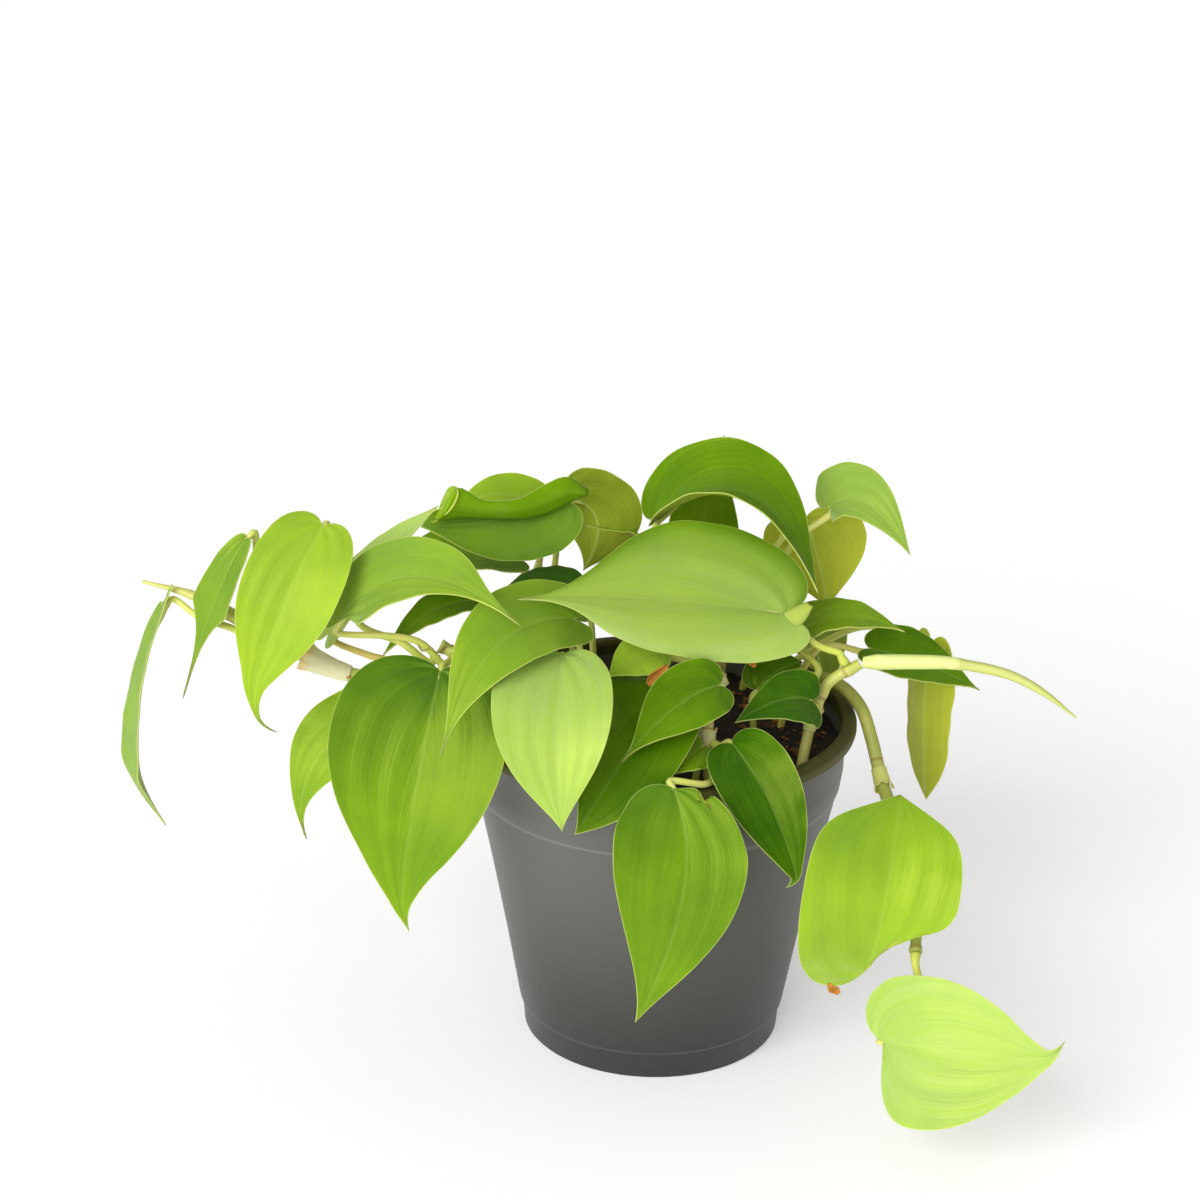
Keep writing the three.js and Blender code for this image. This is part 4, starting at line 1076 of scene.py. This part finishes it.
def pot_profile():
    """Radii and heights of the pot's wall from the edge of its underside, up the outside, round the
    lip, and back down inside to the floor, with small rounds at the foot, the step and the lip."""
    outside = [
        (FOOT_RADIUS - 3, 0), (FOOT_RADIUS - 0.6, 0.05), (FOOT_RADIUS - 0.05, 0.7),
        (FOOT_RADIUS + 0.7, FOOT_HEIGHT - 0.6), (FOOT_RADIUS + 0.95, FOOT_HEIGHT),
        (FOOT_RADIUS + 1.6, FOOT_HEIGHT + 0.6), (FOOT_RADIUS + 1.9, FOOT_HEIGHT + 1.6),
        LOWER_WALL, UPPER_WALL, (STEP_RADIUS - 0.1, STEP_HEIGHT - 0.8),
        (STEP_RADIUS + 0.1, STEP_HEIGHT), (COLLAR_RADIUS - 1.4, STEP_HEIGHT + 1.2),
        (COLLAR_RADIUS - 0.95, STEP_HEIGHT + 2.2), (COLLAR_RADIUS, COLLAR_FOOT),
        (COLLAR_RADIUS, LIP_UNDERSIDE - 0.5), (COLLAR_RADIUS + 0.4, LIP_UNDERSIDE),
        (LIP_RADIUS - 1.2, LIP_UNDERSIDE + 0.1), (LIP_RADIUS - 0.35, LIP_UNDERSIDE + 0.6),
        (LIP_RADIUS, LIP_UNDERSIDE + 1.8), (LIP_RADIUS - 0.05, POT_HEIGHT - 2.2),
        (LIP_RADIUS - 0.6, POT_HEIGHT - 0.9), (LIP_RADIUS - 1.6, POT_HEIGHT - 0.15),
        (LIP_RADIUS - 2.6, POT_HEIGHT), (COLLAR_RADIUS - 0.1, POT_HEIGHT - 0.15),
        (COLLAR_RADIUS - 0.8, POT_HEIGHT - 0.5), (COLLAR_RADIUS - 1.3, POT_HEIGHT - 1.4),
    ]
    inside = [
        (COLLAR_RADIUS - POT_WALL, POT_HEIGHT - 3), (COLLAR_RADIUS - POT_WALL, COLLAR_FOOT),
        (STEP_RADIUS - POT_WALL - 0.3, STEP_HEIGHT), (UPPER_WALL[0] - POT_WALL, UPPER_WALL[1]),
        (LOWER_WALL[0] - POT_WALL, LOWER_WALL[1]), (FOOT_RADIUS - POT_WALL, POT_FLOOR),
    ]
    return [*outside, *inside]


def soil_height(x, y):
    """The soil's surface over the pot's mouth: low mounds, crumbs and a slight dish at the rim."""
    mounds = np.sin(x * 0.19 + 0.6) * np.cos(y * 0.17 - 0.4)
    crumbs = np.sin(x * 0.61 + y * 0.23) * np.sin(y * 0.57 - x * 0.31)
    rim = np.hypot(x, y) / LIP_RADIUS
    return SOIL_TOP + 0.8 * mounds + 0.5 * crumbs - SOIL_DISH * rim * rim


def soil_surface():
    """The body of soil: rings over the top that follow the soil's height with fine crumbs, then the
    side and the underside just inside the pot."""
    rim = COLLAR_RADIUS - POT_WALL - SIDE_GAP
    radii = np.linspace(0.4, 1, SOIL_RINGS) ** 0.8 * rim
    radii = np.concatenate([np.linspace(1, radii[0], 20)[:-1], radii])
    angle = round_angles(SOIL_SIDES)
    x, y = np.outer(radii, np.cos(angle)), np.outer(radii, np.sin(angle))
    z = soil_height(x, y) + 0.7 * ripple(x, y, 0 * x, 4.0, 3) + 0.45 * ripple(x, y, 0 * x, 1.6, 4)
    top = np.stack([x, y, z], -1)
    side = [
        (rim, COLLAR_FOOT - 1), (STEP_RADIUS - 0.4 - POT_WALL - SIDE_GAP, STEP_HEIGHT - 1),
        (UPPER_WALL[0] - POT_WALL - SIDE_GAP, UPPER_WALL[1]),
        (LOWER_WALL[0] - POT_WALL - SIDE_GAP, LOWER_WALL[1]),
        (FOOT_RADIUS - POT_WALL - SIDE_GAP, POT_FLOOR + SEAT_GAP),
    ]
    wall = np.stack([np.stack([r * np.cos(angle), r * np.sin(angle), 0 * angle + z], -1) for r, z in side])
    points, faces, _ = closed_rings(np.concatenate([top, wall]))
    return Surface(points, faces)


def chip(centre, size, turn, random, shade):
    """A bark chip or crumb: rings of a few points squashed to its length, width and thickness,
    roughened by a seeded draw, and turned."""
    angle = round_angles(CHIP_SIDES)
    height = np.array([-0.9, -0.55, 0, 0.5, 0.9])
    ring = np.sqrt(1 - height**2)[:, None] ** 0.6
    rings = np.stack([ring * np.cos(angle), ring * np.sin(angle), height[:, None] + 0 * angle], -1)
    rough = 1 + CHIP_ROUGHNESS * random.normal(size=(len(height), CHIP_SIDES, 1))
    rings = rings * rough * np.asarray(size) / 2
    rings = rings @ np.array(Matrix.Rotation(turn[0], 3, "Z") @ Matrix.Rotation(turn[1], 3, "X")).T
    points, faces, _ = closed_rings(rings + np.asarray(centre))
    return Surface(points, faces, shade=shade)


def litter_surface(settings):
    """Bark chips and crumbs strewn over the soil: even over the mouth by a seeded draw, long chips
    first and then finer crumbs, each resting in the surface."""
    random = np.random.default_rng(11)
    parts = []
    for k in range(settings.chips):
        large = k < settings.chips // 5
        out = (COLLAR_RADIUS - POT_WALL - 5) * math.sqrt(random.uniform())
        spin = random.uniform(0, 2 * math.pi)
        x, y = out * math.cos(spin), out * math.sin(spin)
        length = random.uniform(4, 9) if large else random.uniform(1.2, 3.5)
        size = (length, length * random.uniform(0.35, 0.6), length * random.uniform(0.2, 0.4))
        centre = (x, y, float(soil_height(x, y)) + 0.25 * size[2])
        turn = (random.uniform(0, math.pi), random.uniform(-0.5, 0.5))
        shade = random.uniform(0.2, 1.0) ** 2 if large else random.uniform(0, 0.5)
        parts.append(chip(centre, size, turn, random, shade))
    return joined(parts)


def new_leaf_surface():
    """The rolled leaf: a tube along its path with the listed radii; its section swells and steps
    where the outer edge of the roll laps round it."""
    path, _ = smooth_path(NEW_LEAF_PATH, NEW_LEAF_RINGS)
    s = np.linspace(0, 1, NEW_LEAF_RINGS)
    radii = np.interp(s, NEW_LEAF_PLACES, NEW_LEAF_RADII)
    angle = round_angles(NEW_LEAF_SIDES)
    lap = ((angle[None] - 5 * s[:, None]) % (2 * math.pi)) / (2 * math.pi)
    section = radii[:, None] * (1 + 0.16 * (lap - 0.5))
    around = np.broadcast_to(np.sin(angle), section.shape)
    return tube(path, section, NEW_LEAF_SIDES, 0, along=s, around=around)


def make_floor(settings):
    """A wide round floor that glows faintly, so that it stays pale to the horizon."""
    shader = Shader("floor", Roughness=0.6, Specular_IOR_Level=0.2, Emission_Color=(1, 1, 1, 1),
                    Emission_Strength=settings.glow, Base_Color=(*settings.floor, 1))
    angle = round_angles(FLOOR_SIDES)
    points = np.stack([np.cos(angle), np.sin(angle), 0 * angle], 1) * FLOOR_RADIUS * MM
    mesh = bpy.data.meshes.new("floor")
    mesh.from_pydata(points.tolist(), [], [list(range(FLOOR_SIDES))])
    mesh.materials.append(shader.material)
    place_object("floor", mesh)


def make_lights(scene, settings):
    """A white surround and two wide soft lights: a key from the front left and a fill from above."""
    world = bpy.data.worlds.new("surround")
    world.use_nodes = True
    background = world.node_tree.nodes["Background"]
    background.inputs["Color"].default_value = (1, 1, 1, 1)
    background.inputs["Strength"].default_value = settings.sky
    scene.world = world
    lights = (("key", settings.key, settings.key_spread, KEY_HEADING),
              ("fill", settings.fill, settings.fill_spread, FILL_HEADING))
    for name, strength, spread, heading in lights:
        light = bpy.data.lights.new(name, "SUN")
        light.energy = strength
        light.angle = spread
        lamp = place_object(name, light)
        lamp.rotation_euler = Vector(heading).to_track_quat("-Z", "Y").to_euler()


def make_camera(scene):
    """The camera: it looks along +Y and down by its rise, turned about its own line by its roll."""
    rise = math.radians(CAMERA_RISE)
    roll = math.radians(CAMERA_ROLL)
    forward = Vector((0, math.cos(rise), -math.sin(rise)))
    right = Vector((1, 0, 0))
    up = right.cross(forward)
    across = math.cos(roll) * right + math.sin(roll) * up
    above = -math.sin(roll) * right + math.cos(roll) * up
    data = bpy.data.cameras.new("camera")
    data.lens = CAMERA_LENS
    data.sensor_width = SENSOR_WIDTH
    camera = place_object("camera", data)
    place = (Vector(CAMERA_AIM) - forward * CAMERA_DISTANCE) * MM
    axes = Matrix((across, above, -forward)).transposed().to_4x4()
    camera.matrix_world = Matrix.Translation(place) @ axes
    scene.camera = camera


class PotSettings(PropertyGroup):
    sides: IntProperty(name="Sides", description="Points round the pot", default=160, min=16)
    charcoal: FloatVectorProperty(name="Plastic", description="Colour of the pot", subtype="COLOR",
                                  default=(0.014, 0.015, 0.012))
    # Painted light: the paler colour painted towards the top of the pot.
    painted_top_light: FloatVectorProperty(name="Faded", description="Colour it pales to at the top",
                               subtype="COLOR", default=(0.125, 0.127, 0.11))
    dust: FloatVectorProperty(name="Dust", description="Colour of dust on it", subtype="COLOR",
                              default=(0.14, 0.13, 0.115))
    # Painted highlight: the pale colour painted along the step and the foot.
    painted_highlight: FloatVectorProperty(name="Worn", description="Colour of its worn edges", subtype="COLOR",
                              default=(0.3, 0.3, 0.27))
    # Painted reflection and shade: the dark olive painted on the lip.
    lip: FloatVectorProperty(name="Lip", description="Colour of the lip", subtype="COLOR",
                             default=(0.1, 0.1, 0.025))


class SoilSettings(PropertyGroup):
    chips: IntProperty(name="Chips", description="Bark chips and crumbs on the soil", default=420, min=0)
    soil: FloatVectorProperty(name="Soil", description="Colour of the damp mix", subtype="COLOR",
                              default=(0.01, 0.006, 0.004))
    crumb: FloatVectorProperty(name="Crumbs", description="Colour of its crumbs", subtype="COLOR",
                               default=(0.045, 0.021, 0.01))
    damp: FloatVectorProperty(name="Damp", description="Colour of its dampest places", subtype="COLOR",
                              default=(0.012, 0.008, 0.006))
    bark: FloatVectorProperty(name="Bark", description="Colour of the brightest bark", subtype="COLOR",
                              default=(0.55, 0.2, 0.04))


class LeafSettings(PropertyGroup):
    rows: IntProperty(name="Rows", description="Points along a blade", default=64, min=8)
    columns: IntProperty(name="Columns", description="Points across a blade", default=41, min=5)
    veins: IntProperty(name="Veins", description="Side veins on each side of the rib", default=9, min=1)
    flutter: FloatProperty(name="Flutter", description="Height of the fine waves at the margin",
                           unit="LENGTH", default=0.00025)
    pleat: FloatProperty(name="Pleats", description="Height of the soft folds that fan from the base",
                         unit="LENGTH", default=0.0003)
    groove: FloatProperty(name="Groove", description="Depth of the groove along the rib",
                          unit="LENGTH", default=0.0003)
    petiole: FloatProperty(name="Petiole", description="Radius of the leaf stalks", unit="LENGTH",
                           default=PETIOLE_RADIUS * MM)
    lime: FloatVectorProperty(name="Lime", description="Colour of the brightest leaves", subtype="COLOR",
                              default=(0.33, 0.52, 0.012))
    green: FloatVectorProperty(name="Green", description="Colour of middling leaves", subtype="COLOR",
                               default=(0.135, 0.28, 0.003))
    deep: FloatVectorProperty(name="Deep green", description="Colour of the darkest leaves",
                              subtype="COLOR", default=(0.02, 0.11, 0.001))
    underside: FloatVectorProperty(name="Underside", description="Colour below a blade", subtype="COLOR",
                                   default=(0.5, 0.56, 0.05))
    underside_shade: FloatVectorProperty(name="Underside shade", description="Its darker colour",
                                         subtype="COLOR", default=(0.075, 0.17, 0.002))
    pale: FloatVectorProperty(name="Veins", description="Colour of ribs and veins", subtype="COLOR",
                              default=(0.56, 0.72, 0.2))
    margin: FloatVectorProperty(name="Margin", description="Colour of the leaf margin", subtype="COLOR",
                                default=(0.62, 0.66, 0.2))
    # Painted sheen: the whitish colour painted where leaves shine or lie in shade.
    sheen_paint: FloatVectorProperty(name="Wax", description="Colour of the whitish wax", subtype="COLOR",
                             default=(0.5, 0.65, 0.24))
    torn: FloatVectorProperty(name="Torn edge", description="Colour of a torn edge", subtype="COLOR",
                              default=(0.2, 0.09, 0.02))


class StemSettings(PropertyGroup):
    stem: FloatVectorProperty(name="Stem", description="Colour of older stems", subtype="COLOR",
                              default=(0.48, 0.53, 0.08))
    old: FloatVectorProperty(name="Old stem", description="Colour of the oldest stem", subtype="COLOR",
                             default=(0.2, 0.25, 0.02))
    young: FloatVectorProperty(name="Young stem", description="Colour of young growth", subtype="COLOR",
                               default=(0.8, 0.8, 0.27))
    stalk: FloatVectorProperty(name="Stalk", description="Colour of the leaf stalks", subtype="COLOR",
                               default=(0.6, 0.66, 0.09))
    orange: FloatVectorProperty(name="Ripe", description="Colour of ripened stems", subtype="COLOR",
                                default=(0.96, 0.6, 0.2))
    rust: FloatVectorProperty(name="Scraps", description="Colour of the scraps of sheath",
                              subtype="COLOR", default=(0.8, 0.33, 0.02))
    scar: FloatVectorProperty(name="Scar", description="Colour of scars and torn rims", subtype="COLOR",
                              default=(0.2, 0.08, 0.025))
    sheath: FloatVectorProperty(name="Sheath", description="Colour of the dry sheaths", subtype="COLOR",
                                default=(1.0, 0.94, 0.6))
    sheath_shade: FloatVectorProperty(name="Sheath fibres", description="Colour of the sheath's fibres",
                                      subtype="COLOR", default=(0.86, 0.74, 0.3))
    lime: FloatVectorProperty(name="New leaf", description="Colour of the rolled leaf", subtype="COLOR",
                              default=(0.28, 0.38, 0.03))
    wrap: FloatVectorProperty(name="New sheath", description="Colour of the rolled leaf's sheath",
                              subtype="COLOR", default=(0.66, 0.76, 0.17))
    wrap_pale: FloatVectorProperty(name="Pale sheath", description="Its palest colour", subtype="COLOR",
                                   default=(0.84, 0.88, 0.36))


class StageSettings(PropertyGroup):
    key: FloatProperty(name="Key light", description="Strength of the upper left front light",
                       default=2.8)
    key_spread: FloatProperty(name="Key spread", description="Width of the key light in the sky",
                              subtype="ANGLE", default=math.radians(48))
    fill: FloatProperty(name="Fill light", description="Strength of the light from above", default=0.8)
    fill_spread: FloatProperty(name="Fill spread", description="Width of the fill light in the sky",
                               subtype="ANGLE", default=math.radians(140))
    sky: FloatProperty(name="Surround", description="Brightness of the white surround", default=0.22)
    glow: FloatProperty(name="Floor glow", description="Light the white floor gives off", default=0.3)
    floor: FloatVectorProperty(name="Floor", description="Colour of the floor", subtype="COLOR",
                               default=(0.92, 0.92, 0.92))


class PLANT_OT_pot(Operator):
    """Makes the nursery pot with its foot, step, collar, lip and drain holes"""
    bl_idname = "plant.pot"
    bl_label = "Pot"

    def execute(self, context):
        settings = context.scene.plant_pot
        shell = turned(pot_profile(), settings.sides)
        pot = make_piece("nursery_pot", shell, [pot_material(settings)], "pot", "pot")
        cutters = []
        for k in range(DRAIN_HOLES):
            turn = 2 * math.pi * k / DRAIN_HOLES
            cutter = turned([(DRAIN_RADIUS, -POT_FLOOR), (DRAIN_RADIUS, 2 * POT_FLOOR)], DRAIN_SIDES)
            cutter.points += (DRAIN_CIRCLE * math.cos(turn), DRAIN_CIRCLE * math.sin(turn), 0)
            cutters.append(cutter)
        drill = make_piece("drill", joined(cutters), [], "pot")
        cut = pot.modifiers.new("drains", "BOOLEAN")
        cut.operation = "DIFFERENCE"
        cut.object = drill
        context.view_layer.update()
        drilled = bpy.data.meshes.new_from_object(pot.evaluated_get(context.evaluated_depsgraph_get()))
        pot.modifiers.clear()
        pot.data = drilled
        bpy.data.objects.remove(drill)
        drilled.set_sharp_from_angle(angle=math.radians(POT_SHARP_ANGLE))
        return {"FINISHED"}


class PLANT_OT_soil(Operator):
    """Makes the potting mix and the bark strewn on it"""
    bl_idname = "plant.soil"
    bl_label = "Soil"

    def execute(self, context):
        settings = context.scene.plant_soil
        make_piece("potting_mix", soil_surface(), [soil_material(settings)], "soil", "soil")
        make_piece("bark_litter", litter_surface(settings), [bark_material(settings)], "soil")
        return {"FINISHED"}


class PLANT_OT_stems(Operator):
    """Makes the stems with their nodes, scars and dry sheaths"""
    bl_idname = "plant.stems"
    bl_label = "Stems"

    def execute(self, context):
        settings = context.scene.plant_stem
        materials = [stem_material(settings), sheath_material(settings)]
        for name, stem in STEMS.items():
            parts = [stem_surface(name)]
            for k, wrap in enumerate(stem["sheaths"]):
                parts.append(sheath(name, *wrap, seed=5 + k))
            parts += [flake(*scrap) for scrap in stem.get("flakes", [])]
            make_piece(f"grown_stem_{name}", joined(parts), materials, "stem", f"stem_{name}")
        return {"FINISHED"}


class PLANT_OT_leaves(Operator):
    """Makes every open leaf: its blade and its stalk"""
    bl_idname = "plant.leaves"
    bl_label = "Leaves"

    def execute(self, context):
        settings = context.scene.plant_leaf
        materials = [leaf_material(settings), petiole_material(context.scene.plant_stem)]
        slots = {part["node"]: part["material_slot"] for part in frame["record"]["subparts"]}
        for k, leaf in enumerate(LEAVES):
            node = f"leaf_{k + 1:02d}"
            rolls = [rolled_edge(**roll) for roll in ROLLED_EDGES.get(k + 1, [])]
            surface = joined([blade(leaf, settings), petiole(leaf, settings), *rolls])
            make_piece(f"heart_{node}", surface, materials, slots[node], node)
        return {"FINISHED"}


class PLANT_OT_new_leaf(Operator):
    """Makes the rolled new leaf in its pale sheath"""
    bl_idname = "plant.new_leaf"
    bl_label = "New leaf"

    def execute(self, context):
        material = new_leaf_material(context.scene.plant_stem)
        make_piece("rolled_new_leaf", new_leaf_surface(), [material], "new_leaf", "new_leaf")
        return {"FINISHED"}


class PLANT_OT_stage(Operator):
    """Makes the pale floor, the soft lights and the camera"""
    bl_idname = "plant.stage"
    bl_label = "Stage"

    def execute(self, context):
        settings = context.scene.plant_stage
        make_floor(settings)
        make_lights(context.scene, settings)
        make_camera(context.scene)
        context.scene.view_settings.view_transform = "Standard"
        return {"FINISHED"}


OPERATORS = (PLANT_OT_stage, PLANT_OT_pot, PLANT_OT_soil, PLANT_OT_stems, PLANT_OT_leaves,
             PLANT_OT_new_leaf)
SETTINGS = {
    "plant_pot": PotSettings,
    "plant_soil": SoilSettings,
    "plant_leaf": LeafSettings,
    "plant_stem": StemSettings,
    "plant_stage": StageSettings,
}


class PLANT_PT_sidebar(Panel):
    """Lists the plant's settings and the operators that make its pieces"""
    bl_idname = "PLANT_PT_sidebar"
    bl_label = "Heartleaf philodendron"
    bl_space_type = "VIEW_3D"
    bl_region_type = "UI"
    bl_category = "Plant"

    def draw(self, context):
        for operator in OPERATORS:
            self.layout.operator(operator.bl_idname)
        for name, settings in SETTINGS.items():
            box = self.layout.box()
            for prop in settings.__annotations__:
                box.prop(getattr(context.scene, name), prop)


def register():
    for group in SETTINGS.values():
        bpy.utils.register_class(group)
    for name, group in SETTINGS.items():
        setattr(bpy.types.Scene, name, PointerProperty(type=group))
    for operator in OPERATORS:
        bpy.utils.register_class(operator)
    bpy.utils.register_class(PLANT_PT_sidebar)


def unregister():
    bpy.utils.unregister_class(PLANT_PT_sidebar)
    for operator in reversed(OPERATORS):
        bpy.utils.unregister_class(operator)
    for name, group in SETTINGS.items():
        delattr(bpy.types.Scene, name)
        bpy.utils.unregister_class(group)


def main():
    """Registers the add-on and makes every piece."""
    register()
    bpy.ops.plant.stage()
    bpy.ops.plant.pot()
    bpy.ops.plant.soil()
    bpy.ops.plant.stems()
    bpy.ops.plant.leaves()
    bpy.ops.plant.new_leaf()


if __name__ == "__main__":
    main()
